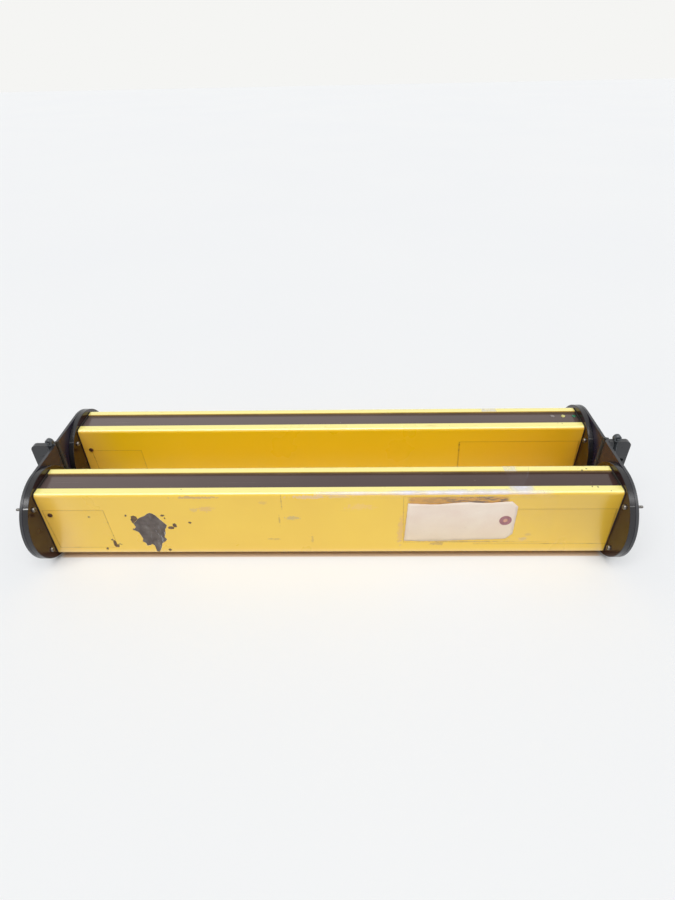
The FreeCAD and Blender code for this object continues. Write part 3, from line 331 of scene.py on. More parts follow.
# Small dark nicks on the top of both bars near their right ends: place along and across, and radius, in millimetres.
NICKS = [(279.3, -43.7, 1.0), (273.7, -46.0, 0.9), (269.9, -43.6, 0.6), (280.4, -73.4, 1.0), (274.9, -72.9, 0.8),
         (292.0, -79.5, 0.8), (281.0, 44.4, 0.8), (276.0, 45.4, 0.6)]
on_top = calc(tree, "GREATER_THAN", at[2], BAR_TOP - 0.003)
nicked = 0.0
for x, y, radius in NICKS:
    reach = from_spot(tree, (at[0], x * MM), (at[1], y * MM), MM, MM)
    ragged = calc(tree, "ADD", reach, times(tree, broken, 2.0))
    nicked = calc(tree, "MAXIMUM", nicked, times(tree, calc(tree, "LESS_THAN", ragged, radius), on_top))

# The paint's tone holds painted light and shade: painted light on the sides between the bars, painted shade at
# the right end of the front, painted light towards the caps, and painted light low down and on top.
# Painted light: the sides between the bars are painted a brighter, deeper yellow.
GAP_LIGHT_Y = 0.0365
paint = blend(tree, paint, (255, 213, 14), between(tree, at[1], -GAP_LIGHT_Y, GAP_LIGHT_Y, 0.0005), 0.85)
# Painted shade: the front face is painted darker towards its right end.
right_end_shade = times(tree, ramp(tree, at[0], 0.16, 0.27), ramp(tree, at[2], BAR_UNDER + 0.015, BAR_UNDER + 0.060),
             times(tree, calc(tree, "LESS_THAN", at[1], -0.0815), 0.40))
paint = blend(tree, paint, (196, 154, 36), right_end_shade)
# Painted light towards the caps, lighter and warmer, against the caps' shade. Where it starts and ends along the
# bar, the least place across, how strong it is, and its colour.
CAP_END_LIGHTS = [(-0.250, -0.312, -1.0, 0.60, (255, 204, 104)), (0.100, 0.308, 0.0, 0.50, (252, 184, 44)),
             (0.284, 0.308, -1.0, 0.30, (255, 204, 90))]
for first_x, last_x, least_y, strength, colour in CAP_END_LIGHTS:
    cap_end_light = times(tree, ramp(tree, at[0], first_x, last_x, 0.0, strength, smooth=True),
                     calc(tree, "GREATER_THAN", at[1], least_y))
    paint = blend(tree, paint, colour, cap_end_light)
# Painted light low down on the faces, for the light the floor bounces up.
floor_bounce_light = between(tree, at[2], BAR_UNDER - 0.004, BAR_UNDER + 0.005, 0.004)
paint = blend(tree, paint, (254, 216, 150), floor_bounce_light, 0.45)
# Painted light: faces that look up are painted paler, as if brightly lit.
normal = parts(tree, put(tree, "ShaderNodeNewGeometry").outputs["Normal"])
paint = blend(tree, paint, (254, 241, 140), ramp(tree, normal[2], 0.45, 0.95, smooth=True))
paint = blend(tree, paint, (206, 164, 74), scuffs, 0.40)
paint = blend(tree, paint, (206, 144, 18), painted_tape_shade, 0.95)
smeared = times(tree, painted_tape_shade, smear, ramp(tree, at[0], 0.115, 0.145, 0.3, 0.95))
paint = blend(tree, paint, (106, 80, 50), smeared)
paint = blend(tree, paint, (120, 92, 52), dirt, 0.8)
paint = blend(tree, paint, (214, 206, 186), worn, 0.5)
paint = blend(tree, paint, (84, 74, 34), nicked, 0.85)
dullness = calc(tree, "ADD", times(tree, texture["Cloud"], 0.5), scuffs)
shade(tree, paint, ramp(tree, dullness, 0.0, 1.0, 0.26, 0.46), (texture, 0.35, 0.00012),
      {"Coat Weight": 1.0, "Coat Roughness": 0.22, "Coat IOR": 1.7})


def dress(material, *names):
    """Gives CAD nodes their finish through their own material slots. A * stands for either bar."""
    for name in names:
        for bar in ("emitter", "receiver") if "*" in name else [""]:
            for slot in nodes[name.replace("*", bar)].material_slots:
                slot.material = material


dress(yellow_paint, "*_housing")


# Chipped paint.
# Blows have knocked the coating off the front bar's face in one large flake and several small ones.
# The metal under it has gone dark grey-brown, with paler scratches low on the right.

FACE = -82 * MM
FLAKE = [(-204.6, 51.6), (-201.0, 55.2), (-195.3, 57.5), (-190.6, 61.4), (-188.1, 62.2), (-185.8, 61.0), (-183.3, 58.8),
         (-179.1, 52.4), (-176.0, 47.6), (-173.4, 44.0), (-174.6, 41.2), (-176.8, 37.1), (-177.3, 32.0), (-179.5, 26.4),
         (-177.6, 22.6), (-179.6, 19.8), (-184.3, 16.1), (-186.2, 9.5), (-189.5, 3.2), (-192.5, 3.2), (-193.3, 12.6),
         (-195.4, 15.5), (-198.0, 13.4), (-201.5, 12.7), (-202.2, 17.0), (-205.4, 19.6), (-203.7, 23.6), (-206.2, 33.6),
         (-211.5, 37.3), (-207.8, 41.5), (-209.0, 46.5)]
FLAKE_MIDDLE = (-191.0, 34.0)
# Middle along the bar, height above the underside, half width and half height, in millimetres.
SMALL_CHIPS = [(-207.0, 52.2, 3.9, 6.2), (-169.6, 40.0, 3.6, 2.2), (-165.0, 43.6, 2.5, 3.0), (-237.0, 16.2, 1.8, 5.6),
               (-235.6, 12.6, 2.6, 2.4), (-231.6, 15.2, 3.0, 0.6), (-247.5, 8.4, 1.7, 1.9), (-177.2, 6.1, 2.0, 1.9),
               (-147.6, 47.8, 1.7, 1.5), (-175.7, 58.2, 2.2, 1.5), (-173.8, 54.3, 1.0, 1.0), (-214.9, 58.3, 1.3, 1.4),
               (-255.0, 56.6, 1.0, 0.9), (-210.6, 38.0, 1.7, 1.3), (-238.9, 22.0, 1.2, 1.3)]

bare_metal, tree = new_material("bare_metal")
texture = grained(tree, 700.0, 110.0)
bare = blend(tree, (74, 64, 62), (112, 104, 100), texture["Cloud"])
at = where(tree)
scratches = rubbed(tree, (420.0, 100.0, 90.0), 0.55, 5.0)
low_right = times(tree, between(tree, at[0], -0.1915, -0.1765, 0.003),
                  between(tree, at[2], BAR_UNDER + 0.005, BAR_UNDER + 0.040, 0.007))
scored = times(tree, scratches, calc(tree, "ADD", 0.10, times(tree, low_right, 0.75)))
bare = blend(tree, bare, (176, 180, 188), scored)
shade(tree, bare, 0.5, (texture, 0.6, 0.0002), {"Metallic": 0.25})

stained_metal, tree = new_material("stained_metal")
texture = grained(tree, 900.0, 240.0)
stained = blend(tree, (82, 62, 44), (118, 92, 62), texture["Cloud"])
shade(tree, stained, 0.6, (texture, 0.6, 0.0002))

# The broken paint round the large flake is pale, and painted paler still as a highlight along its rim.
paint_edge, tree = new_material("paint_edge")
shade(tree, blend(tree, (196, 152, 62), (250, 228, 158), grained(tree, 1500.0, 300.0)["Cloud"]), 0.6)


def add_object(name, mesh, *materials):
    piece = bpy.data.objects.new(name, mesh)
    scene.collection.objects.link(piece)
    for material in materials:
        mesh.materials.append(material)
    return piece


def settled(name, sheet):
    """Turns all faces of a sheet one way, up or to the front, and makes it a mesh."""
    bmesh.ops.recalc_face_normals(sheet, faces=sheet.faces)
    if sum((f.normal.z - f.normal.y) * f.calc_area() for f in sheet.faces) < 0:
        bmesh.ops.reverse_faces(sheet, faces=sheet.faces)
    mesh = bpy.data.meshes.new(name)
    sheet.to_mesh(mesh)
    sheet.free()
    return mesh


# The large flake: its bare floor, and round it the slope of broken paint that rises to the face.
flake = bmesh.new()
inner = []
outer = []
dice = random.Random(4)
for x, z in FLAKE:
    away = Vector((x - FLAKE_MIDDLE[0], z - FLAKE_MIDDLE[1])).normalized() * dice.uniform(0.25, 0.7)
    inner.append(flake.verts.new((x * MM, FACE - 0.02 * MM, BAR_UNDER + z * MM)))
    outer.append(flake.verts.new(((x + away.x) * MM, FACE - 0.01 * MM, BAR_UNDER + (z + away.y) * MM)))
flake.faces.new(inner)
for i in range(len(inner)):
    j = (i + 1) % len(inner)
    flake.faces.new((outer[i], outer[j], inner[j], inner[i])).material_index = 1
large_flake = add_object("large_flake", settled("large_flake", flake), bare_metal, paint_edge)
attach(large_flake, "root")


def geometry_tree(name, values):
    """A tree with one named input for each value: a whole number, a length or share, or a material."""
    kinds = {int: "NodeSocketInt", float: "NodeSocketFloat", bpy.types.Material: "NodeSocketMaterial"}
    tree = bpy.data.node_groups.new(name, "GeometryNodeTree")
    tree.interface.new_socket("Geometry", in_out="INPUT", socket_type="NodeSocketGeometry")
    for label, value in values.items():
        tree.interface.new_socket(label, in_out="INPUT", socket_type=kinds[type(value)])
    tree.interface.new_socket("Geometry", in_out="OUTPUT", socket_type="NodeSocketGeometry")
    return tree, tree.nodes.new("NodeGroupInput").outputs


def end_tree(tree, given, body, realise=True):
    """Makes copies real, gives them their material and leads them out of the tree."""
    if realise:
        body = put(tree, "GeometryNodeRealizeInstances", {0: body})
    finished = put(tree, "GeometryNodeSetMaterial", {0: body, "Material": given["Finish"]})
    put(tree, "NodeGroupOutput", {0: finished})


def named(tree, name, kind):
    """A value that each point carries under this name."""
    return put(tree, "GeometryNodeInputNamedAttribute", {"Name": name}, data_type=kind)


def grow(name, points, attributes, tree, values, lines=()):
    """Runs a geometry tree on points, and on lines between them, and returns the plain mesh that comes out."""
    cloud = bpy.data.meshes.new(name + "_points")
    cloud.from_pydata(points, lines, [])
    for label, kind, key, numbers in attributes:
        cloud.attributes.new(label, kind, "POINT").data.foreach_set(key, numbers)
    carrier = bpy.data.objects.new(name + "_points", cloud)
    scene.collection.objects.link(carrier)
    modifier = carrier.modifiers.new("grow", "NODES")
    modifier.node_group = tree
    for socket in tree.interface.items_tree:
        if socket.item_type == "SOCKET" and socket.in_out == "INPUT" and socket.name in values:
            modifier[socket.identifier] = values[socket.name]
    graph = bpy.context.evaluated_depsgraph_get()
    grown = bpy.data.meshes.new_from_object(carrier.evaluated_get(graph), depsgraph=graph)
    carrier.modifiers.remove(modifier)
    bpy.data.objects.remove(carrier)
    grown.name = name
    return grown


# The small chips: one ragged disc on each point, stretched to that chip's width and height.
CHIP = {"Corners": 16, "Raggedness": 0.6, "Seed": 2.0, "Finish": stained_metal}
tree, given = geometry_tree("chip_tree", CHIP)
disc = put(tree, "GeometryNodeMeshCircle", {"Vertices": given["Corners"], "Radius": 1.0}, fill_type="NGON")
stand = put(tree, "GeometryNodeTransform", {0: disc, "Rotation": (math.radians(90), 0, 0)})
placed = put(tree, "GeometryNodeInstanceOnPoints", {"Points": given[0], "Instance": stand,
                                                    "Scale": named(tree, "chip_size", "FLOAT_VECTOR")})
real = put(tree, "GeometryNodeRealizeInstances", {0: placed})
place = put(tree, "GeometryNodeInputPosition")
rough_edge = put(tree, "ShaderNodeTexNoise", {"Vector": place, "W": given["Seed"], "Scale": 620.0, "Detail": 2.0},
                 noise_dimensions="4D")
off = put(tree, "ShaderNodeVectorMath", {0: rough_edge.outputs["Color"], 1: (0.5, 0.5, 0.5)}, operation="SUBTRACT")
flat = put(tree, "ShaderNodeVectorMath", {0: off, 1: (0.006, 0.0, 0.006)}, operation="MULTIPLY")
ragged = put(tree, "ShaderNodeVectorMath", {0: flat, "Scale": given["Raggedness"]}, operation="SCALE")
moved = put(tree, "GeometryNodeSetPosition", {0: real, "Offset": ragged})
end_tree(tree, given, moved, realise=False)

points = [(x * MM, FACE - 0.015 * MM, BAR_UNDER + z * MM) for x, z, _, _ in SMALL_CHIPS]
sizes = [value for _, _, width, height in SMALL_CHIPS for value in (width * MM, 1.0, height * MM)]
chips_mesh = grow("small_chips", points, [("chip_size", "FLOAT_VECTOR", "vector", sizes)], tree, CHIP)
small_chips = add_object("small_chips", chips_mesh)
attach(small_chips, "root")


# Windows and their seals.
# Each window is a strip of smoked acrylic, slid into the groove of the housing: it stops daylight and lets the
# infrared beams through. A thin rubber bead closes the gap along each long edge; its pale brown is painted light
# over the shade of its groove.

filter_window, tree = new_material("filter_window")
texture = grained(tree, 260.0, 9.0)
smoke = blend(tree, (60, 40, 36), (74, 53, 48), texture["Cloud"])
at = where(tree)
# It is paler to the left, and on the rear bar.
paler_left_and_rear = ramp(tree, calc(tree, "SUBTRACT", times(tree, at[1], 3.0), at[0]), -0.42, 0.30, 0.0, 0.56)
smoke = blend(tree, smoke, (122, 110, 106), paler_left_and_rear)
hairlines = rubbed(tree, (9.0, 900.0, 100.0), 0.36, 6.0)
smoke = blend(tree, smoke, (150, 138, 132), hairlines, 0.20)
smoke = blend(tree, smoke, (170, 160, 150), specked(tree, 90.0, 0.05, 0.35), 0.35)
dullness = calc(tree, "ADD", times(tree, texture["Cloud"], 0.4), hairlines)
shade(tree, smoke, ramp(tree, dullness, 0.0, 1.0, 0.10, 0.30), (texture, 0.12, 0.0002), {"IOR": 1.49})
dress(filter_window, "*_window")


def finish(name, dark, light, rough, grains, height, rub=None, clouds=30.0, metallic=0.0, along=(60.0, 200.0, 200.0)):
    """A solid finish: two close shades in clouds, a grain of a small height, a gloss that varies a little, and
    rubs, given as their colour, share and strength."""
    material, tree = new_material(name)
    texture = grained(tree, grains, clouds)
    colour = blend(tree, dark, light, texture["Cloud"])
    gloss = times(tree, texture["Cloud"], 0.5)
    if rub:
        rub_colour, share, strength = rub
        marks = rubbed(tree, along, share, float(len(name)))
        colour = blend(tree, colour, rub_colour, marks, strength)
        gloss = calc(tree, "ADD", gloss, marks)
    shade(tree, colour, ramp(tree, gloss, 0.0, 1.0, rough - 0.05, rough + 0.12), (texture, 0.4, height),
          {"Metallic": metallic})
    return material


black_rubber = finish("black_rubber", (44, 40, 38), (58, 53, 50), 0.55, 900.0, 0.0001, ((92, 86, 80), 0.30, 0.4))
# Painted light: the seals are painted pale brown, lighter than the rubber, over the shade they lie in.
faded_rubber = finish("faded_rubber", (120, 98, 70), (138, 116, 86), 0.55, 900.0, 0.0001, ((104, 84, 62), 0.30, 0.4))
dress(faded_rubber, "*_window_seals")
dress(black_rubber, "*_cap_gaskets")


# End caps.
# A thick round cap of black moulded plastic closes each end of each bar, on a rubber gasket, held by four
# countersunk screws. Its rim is polished by handling, and its flat faces are a little dusty.

def stain(material, mask_of, strength, colour):
    """Lays one more colour over a finish, through a mask that is worked out from the place."""
    tree = material.node_tree
    base = [node for node in tree.nodes if node.type == "BSDF_PRINCIPLED"][0].inputs["Base Color"]
    plain = base.links[0].from_socket
    tree.links.new(blend(tree, plain, colour, mask_of(tree, where(tree)), strength), base)


def groove_wear_and_highlight(tree, at):
    """The index grooves across the rims are worn pale at the bottom, and painted paler still as a highlight, most of
    all the one that faces front left.
    """
    from_axis = from_spot(tree, (calc(tree, "ABSOLUTE", at[1]), BAR_Y), (at[2], (BAR_UNDER + BAR_TOP) / 2), MM, MM)
    groove_floor = times(tree, between(tree, from_axis, 51.25, 51.78, 0.06),
                         between(tree, calc(tree, "ABSOLUTE", at[0]), 0.3064, 0.3116, 0.0002))
    front_left = times(tree, calc(tree, "LESS_THAN", at[0], 0.0), calc(tree, "LESS_THAN", at[1], -BAR_Y))
    return times(tree, groove_floor, calc(tree, "ADD", 0.2, times(tree, front_left, 0.8)))


def inner_face(depth):
    """The faces that look along the bars are tinted, down to a depth on the bars' axis."""
    return lambda tree, at: calc(tree, "LESS_THAN", calc(tree, "ABSOLUTE", at[0]), depth)


cap_plastic = finish("black_plastic", (23, 22, 25), (36, 35, 38), 0.24, 1300.0, 0.00008, ((116, 112, 108), 0.28, 0.45))
cap_plastic.name = "cap_plastic"
# The grooves' pale floors are partly wear and partly a painted highlight.
stain(cap_plastic, groove_wear_and_highlight, 1.0, (206, 206, 204))
stain(cap_plastic, inner_face(0.3061), 0.9, (42, 14, 14))
dress(cap_plastic, "*_left_cap", "*_right_cap")


# Mounting brackets.
# Each bracket is cut from steel sheet and bent once: a round-ended plate against the cap, and a slotted flange that
# turns outwards. Black stoved paint, rubbed thin along the bends and corners.

bracket_paint = finish("black_bracket_paint", (44, 45, 48), (58, 59, 62), 0.30, 800.0, 0.00012,
                       ((128, 124, 118), 0.30, 0.5))
stain(bracket_paint, inner_face(0.3121), 0.9, (46, 38, 62))
dress(bracket_paint, "*_left_bracket", "*_right_bracket")


# Bracket screws, washers and nuts.
# Sixteen M3 socket screws pass through the caps and the brackets, heads inwards. They are bright zinc plated steel
# with rolled threads, and each is held by a plain washer and a hexagon nut outside.

zinc_steel = finish("zinc_steel", (122, 120, 118), (158, 154, 148), 0.32, 1600.0, 0.00004,
                    ((128, 122, 112), 0.35, 0.6), clouds=400.0, metallic=0.9, along=(300.0, 300.0, 300.0))
SCREW_SPREAD = 29.7
SEAT_X = 306.0
BAR_AXIS = (BAR_UNDER + BAR_TOP) / 2 / MM
SCREW = {"Head Radius": 0.00275, "Head Height": 0.0018, "Shank Radius": 0.0015, "Shank Length": 0.018,
         "Thread Turns": 22.0, "Thread Length": 0.011, "Socket Half Width": 0.00125, "Socket Depth": 0.001,
         "Finish": zinc_steel}
# The thread's root and its ridge share out the shank's radius.
ROOT_SHARE = 0.86
RIDGE_SHARE = 0.14
THREAD_CLEAR = 0.0004


def cylinder(tree, sides, radius, height):
    return put(tree, "GeometryNodeMeshCylinder", {"Vertices": sides, "Radius": radius, "Depth": height},
               fill_type="NGON").outputs


def raised(tree, body, height):
    lift = put(tree, "ShaderNodeCombineXYZ", {2: height})
    return put(tree, "GeometryNodeTransform", {0: body, "Translation": lift}).outputs[0]


def pulled(tree, body, top, distance):
    """Pulls the top face of a body out, or pushes it in, and returns the body and its new top."""
    pull = put(tree, "GeometryNodeExtrudeMesh", {"Mesh": body, "Selection": top, "Offset Scale": distance,
                                                 "Individual": False}, mode="FACES")
    return pull.outputs["Mesh"], pull.outputs["Top"]


def stepped(tree, body, top, height, steps):
    """Pulls the top out by shares of a height, and draws it in after each of them."""
    for rise, shrink in steps:
        body, top = pulled(tree, body, top, times(tree, height, rise))
        body = put(tree, "GeometryNodeScaleElements", {"Geometry": body, "Selection": top, "Scale": shrink},
                   domain="FACE")
    return body, top


def joined(tree, *bodies):
    whole = put(tree, "GeometryNodeJoinGeometry")
    for body in bodies:
        tree.links.new(body, whole.inputs[0])
    return whole.outputs[0]


tree, given = geometry_tree("screw_tree", SCREW)
head_low = times(tree, given["Head Height"], 0.7)
head = cylinder(tree, 24, given["Head Radius"], head_low)
seated = raised(tree, head["Mesh"], times(tree, head_low, 0.5))
body, top = stepped(tree, seated, head["Top"], given["Head Height"], [(0.20, 0.93), (0.10, 0.86)])
# The points of the socket's mouth move from a circle to a hexagon, and its floor sinks.
rim, mouth = pulled(tree, body, top, 0.0)
spot = parts(tree, put(tree, "GeometryNodeInputPosition"))
angle = calc(tree, "ARCTAN2", spot[1], spot[0])
sixth = math.pi / 3
wedge = calc(tree, "SUBTRACT", calc(tree, "FLOORED_MODULO", calc(tree, "ADD", angle, sixth / 2), sixth), sixth / 2)
reach = calc(tree, "DIVIDE", given["Socket Half Width"], calc(tree, "COSINE", wedge))
hexagon = put(tree, "ShaderNodeCombineXYZ", {0: times(tree, reach, calc(tree, "COSINE", angle)),
                                             1: times(tree, reach, calc(tree, "SINE", angle)), 2: spot[2]})
shaped = put(tree, "GeometryNodeSetPosition", {0: rim, "Selection": mouth, "Position": hexagon})
socketed, _ = pulled(tree, shaped, mouth, times(tree, given["Socket Depth"], -1.0))
root = times(tree, given["Shank Radius"], ROOT_SHARE)
shank = raised(tree, cylinder(tree, 20, root, given["Shank Length"])["Mesh"], times(tree, given["Shank Length"], -0.5))
helix = put(tree, "GeometryNodeCurveSpiral", {"Resolution": 16, "Rotations": given["Thread Turns"],
                                              "Start Radius": root, "End Radius": root,
                                              "Height": given["Thread Length"]})
ridge = put(tree, "GeometryNodeCurvePrimitiveCircle", {"Resolution": 4, "Radius": times(
    tree, given["Shank Radius"], RIDGE_SHARE)}, mode="RADIUS")
thread = put(tree, "GeometryNodeCurveToMesh", {0: helix, 1: ridge, "Fill Caps": True})
tip = times(tree, calc(tree, "SUBTRACT", given["Shank Length"], THREAD_CLEAR), -1.0)
whole = joined(tree, socketed, shank, raised(tree, thread, tip))
facing = put(tree, "FunctionNodeAlignRotationToVector", {"Vector": named(tree, "aim", "FLOAT_VECTOR")}, axis="Z")
spun = put(tree, "FunctionNodeAxisAngleToRotation", {"Axis": (0, 0, 1), "Angle": named(tree, "twist", "FLOAT")})
turned = put(tree, "FunctionNodeRotateRotation", {"Rotation": facing, "Rotate By": spun}, rotation_space="LOCAL")
placed = put(tree, "GeometryNodeInstanceOnPoints", {"Points": given[0], "Instance": whole, "Rotation": turned})
end_tree(tree, given, placed)


def smooth(mesh, degrees=35):
    mesh.polygons.foreach_set("use_smooth", [True] * len(mesh.polygons))
    mesh.set_sharp_from_angle(angle=math.radians(degrees))


points, aims, twists = [], [], []
dice = random.Random(11)
for end, bar, side, height in product((-1, 1), repeat=4):
    points.append((end * SEAT_X * MM, bar * BAR_Y + side * SCREW_SPREAD * MM, (BAR_AXIS + height * SCREW_SPREAD) * MM))
    aims += [-float(end), 0.0, 0.0]
    twists.append(dice.uniform(0, math.pi))
screw_mesh = grow("bracket_screw_set", points, [("aim", "FLOAT_VECTOR", "vector", aims),
                                                ("twist", "FLOAT", "value", twists)], tree, SCREW)
smooth(screw_mesh)
bracket_screw_set = add_object("bracket_screw_set", screw_mesh)
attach(bracket_screw_set, "root")
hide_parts("bracket_screws")
dress(zinc_steel, "bracket_screws", "bracket_washers", "bracket_nuts")


# Cap screws and side screws.
# Countersunk steel screws hold the caps, hidden under the brackets, and one small blackened screw near the left
# end of each front face clamps the optics inside against a square nut.

black_steel = finish("black_steel", (64, 40, 28), (94, 64, 44), 0.42, 1400.0, 0.00006, ((120, 104, 84), 0.35, 0.5),
                     clouds=300.0, metallic=0.6, along=(300.0, 300.0, 300.0))
dress(black_steel, "cap_screws", "side_screws", "side_screw_nuts")


# Indicator lamps.
# Three small lamps stand in the rear bar's window near its right end: clear, yellow and green moulded domes over
# light-emitting diodes.

def lens(name, colour, glow, clear):
    material, tree = new_material(name)
    texture = grained(tree, 900.0, 500.0)
    tint = blend(tree, colour, glow, texture["Cloud"])
    shade(tree, tint, 0.14, (texture, 0.3, 0.00006), {"Transmission Weight": clear})
    return material


dress(lens("clear_plastic", (226, 228, 226), (250, 250, 246), 0.3), "*_lens_strip")
dress(lens("clear_lens", (126, 116, 112), (150, 140, 136), 0.1), "receiver_clear_lamp")
dress(lens("yellow_lens", (196, 190, 110), (240, 234, 150), 0.1), "receiver_yellow_lamp")
dress(lens("green_lens", (26, 92, 66), (62, 140, 100), 0.1), "receiver_green_lamp")


# Optics and electronics inside the bars.
# A moulded carrier slides into each housing and holds the lens strip over a row of diodes, which are soldered to
# a green circuit board with its chips and a header at the right end.

carrier_plastic = finish("carrier_plastic", (30, 30, 32), (42, 42, 44), 0.55, 900.0, 0.0001, ((80, 80, 82), 0.2, 0.3))
circuit_laminate = finish("circuit_laminate", (24, 78, 48), (34, 98, 60), 0.32, 500.0, 0.00008,
                          ((60, 130, 86), 0.45, 0.5), clouds=120.0, along=(400.0, 40.0, 40.0))
diode_plastic = finish("diode_plastic", (56, 40, 58), (80, 62, 84), 0.18, 900.0, 0.00003, clouds=300.0)
chip_plastic = finish("chip_plastic", (34, 34, 36), (48, 48, 50), 0.5, 1500.0, 0.00005, ((74, 74, 76), 0.2, 0.4))
dress(carrier_plastic, "*_optics_carrier", "*_board_header")
dress(circuit_laminate, "*_circuit_board")
dress(diode_plastic, "emitter_diodes")
dress(chip_plastic, "*_chips", "receiver_photodiodes")


# Receptacles.
# A round plug socket stands out of each right end: a nickel plated shell held by a nut, a black insert and
# gold plated contacts.

nickel = finish("nickel", (166, 160, 150), (196, 190, 178), 0.24, 1200.0, 0.00004, ((120, 112, 100), 0.3, 0.5),
                clouds=250.0, metallic=1.0, along=(300.0, 300.0, 300.0))
contact_brass = finish("contact_brass", (190, 150, 70), (222, 184, 96), 0.25, 1500.0, 0.00003,
                       ((140, 108, 52), 0.3, 0.5), clouds=500.0, metallic=1.0)
dress(nickel, "*_receptacle", "*_receptacle_nut")
dress(carrier_plastic, "*_receptacle_insert")
dress(contact_brass, "*_receptacle_contacts")


# Cable ties.
# A black nylon tie passes through the upper slots at each end and binds the two flanges. The strap has cross
# ribs, and its round head stands on the flanges' top edge, facing the front, with the cut tail in its mouth.

nylon = finish("nylon", (50, 54, 58), (84, 88, 92), 0.38, 900.0, 0.00006, ((112, 114, 116), 0.25, 0.4), clouds=300.0)
TIE = {"Strap Width": 0.0036, "Strap Thickness": 0.0012, "Bend Radius": 0.0009, "Rib Pitch": 0.0012,
       "Rib Height": 0.00015, "Head Radius": 0.0043, "Head Depth": 0.0042, "Finish": nylon}
tree, given = geometry_tree("tie_tree", TIE)
parted = put(tree, "GeometryNodeSeparateGeometry", {0: given[0], "Selection": named(tree, "is_head", "BOOLEAN")},
             domain="POINT").outputs
course = put(tree, "GeometryNodeMeshToCurve", {0: parted["Inverted"]})
bent = put(tree, "GeometryNodeFilletCurve", {"Curve": course, "Count": 5, "Radius": given["Bend Radius"]},
           mode="POLY")
section = put(tree, "GeometryNodeCurvePrimitiveQuadrilateral", {"Width": given["Strap Width"],
                                                                "Height": given["Strap Thickness"]})
strap = put(tree, "GeometryNodeCurveToMesh", {0: bent, 1: section, "Fill Caps": True})
rib_deep = calc(tree, "ADD", given["Strap Thickness"], times(tree, given["Rib Height"], 2.0))
rib_size = put(tree, "ShaderNodeCombineXYZ", {0: times(tree, given["Strap Width"], 0.72), 1: rib_deep,
                                              2: times(tree, given["Rib Pitch"], 0.45)})
rib = put(tree, "GeometryNodeMeshCube", {"Size": rib_size})
rib_places = put(tree, "GeometryNodeCurveToPoints", {0: bent, "Length": given["Rib Pitch"]}, mode="LENGTH").outputs
ribs = put(tree, "GeometryNodeInstanceOnPoints", {"Points": rib_places["Points"], "Instance": rib,
                                                  "Rotation": rib_places["Rotation"]})
drum = cylinder(tree, 28, given["Head Radius"], given["Head Depth"])
body, _ = stepped(tree, drum["Mesh"], drum["Top"], given["Head Depth"], [(0.14, 0.88), (0.0, 0.62), (-0.22, 0.92)])
to_front = put(tree, "GeometryNodeTransform", {0: body, "Rotation": (math.radians(90), 0, 0)})
heads = put(tree, "GeometryNodeInstanceOnPoints", {"Points": parted["Selection"], "Instance": to_front})
end_tree(tree, given, joined(tree, strap.outputs[0], ribs.outputs[0], heads.outputs[0]))

# The strap's course round the flanges, then through the head, across and up, in millimetres. Both ties lean.
SLOT_FOOT = 77.8
HEAD_UP = 108.4
TIE_LEAN = 0.10
LOOP = [(-3.8, SLOT_FOOT), (3.8, SLOT_FOOT), (3.8, 102.8), (-3.8, 102.8)]
NECK = [(-3.9, 101.0), (-4.3, 104.4), (-4.4, 106.0)]
TAIL = [(-5.0, 108.3), (-8.4, 108.8)]
points, lines, flags = [], [], []
for end, foot, head_shift in ((-1, 322.5, 2.0), (1, 327.0, 0.3)):
    for course in (LOOP, NECK, TAIL):
        first = len(points)
        shift = head_shift if course is TAIL else 0.0
        for y, z in course:
            points.append((end * (foot - (z - SLOT_FOOT) * TIE_LEAN - shift) * MM, y * MM, z * MM))
            flags.append(False)
        lines += [(first + i, first + i + 1) for i in range(len(course) - 1)]
        if course is LOOP:
            lines.append((first + len(course) - 1, first))
    points.append((end * (foot - (HEAD_UP - SLOT_FOOT) * TIE_LEAN - head_shift) * MM, -4.4 * MM, HEAD_UP * MM))
    flags.append(True)
tie_mesh = grow("tie_set", points, [("is_head", "BOOLEAN", "value", flags)], tree, TIE, lines)
smooth(tie_mesh)
tie_set = add_object("tie_set", tie_mesh)
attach(tie_set, "root")
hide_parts("cable_ties")
dress(nylon, "cable_ties")


# Paper tag and its ring.
# A manila tag lies on the front bar's face under clear tape. Its right corners are cut off, its hole has a
# stuck-on paper ring, and the sheet is cockled and stained.

low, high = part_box("paper_tag")
TAG_X = (low[0] + high[0]) / 2 / MM
TAG_Z = (low[2] + high[2]) / 2 / MM
HALF_W, HALF_H = 58.0, 26.8
TAG_TILT = math.radians(1.0)
TAG_CLIP = 7.0
TAG_THICK = 0.3
HOLE_RADIUS = 2.5
HOLE_SIDES = 24
HOLE = Vector((47.6, 0))

tag_paper, tree = new_material("tag_paper")
texture = grained(tree, 1400.0, 45.0)
paper = blend(tree, (234, 214, 198), (242, 228, 212), texture["Cloud"])
lower = ramp(tree, where(tree)[2], BAR_UNDER + 0.024, BAR_UNDER + 0.060, 0.55, 0.0)
paper = blend(tree, paper, (230, 208, 172), lower)
paper = blend(tree, paper, (196, 172, 150), rubbed(tree, (500.0, 500.0, 1400.0), 0.5, 2.0), 0.18)
paper = blend(tree, paper, (180, 152, 124), rubbed(tree, (38.0, 60.0, 70.0), 0.40, 9.0), 0.30)
shade(tree, paper, 0.75, (texture, 0.4, 0.0001))

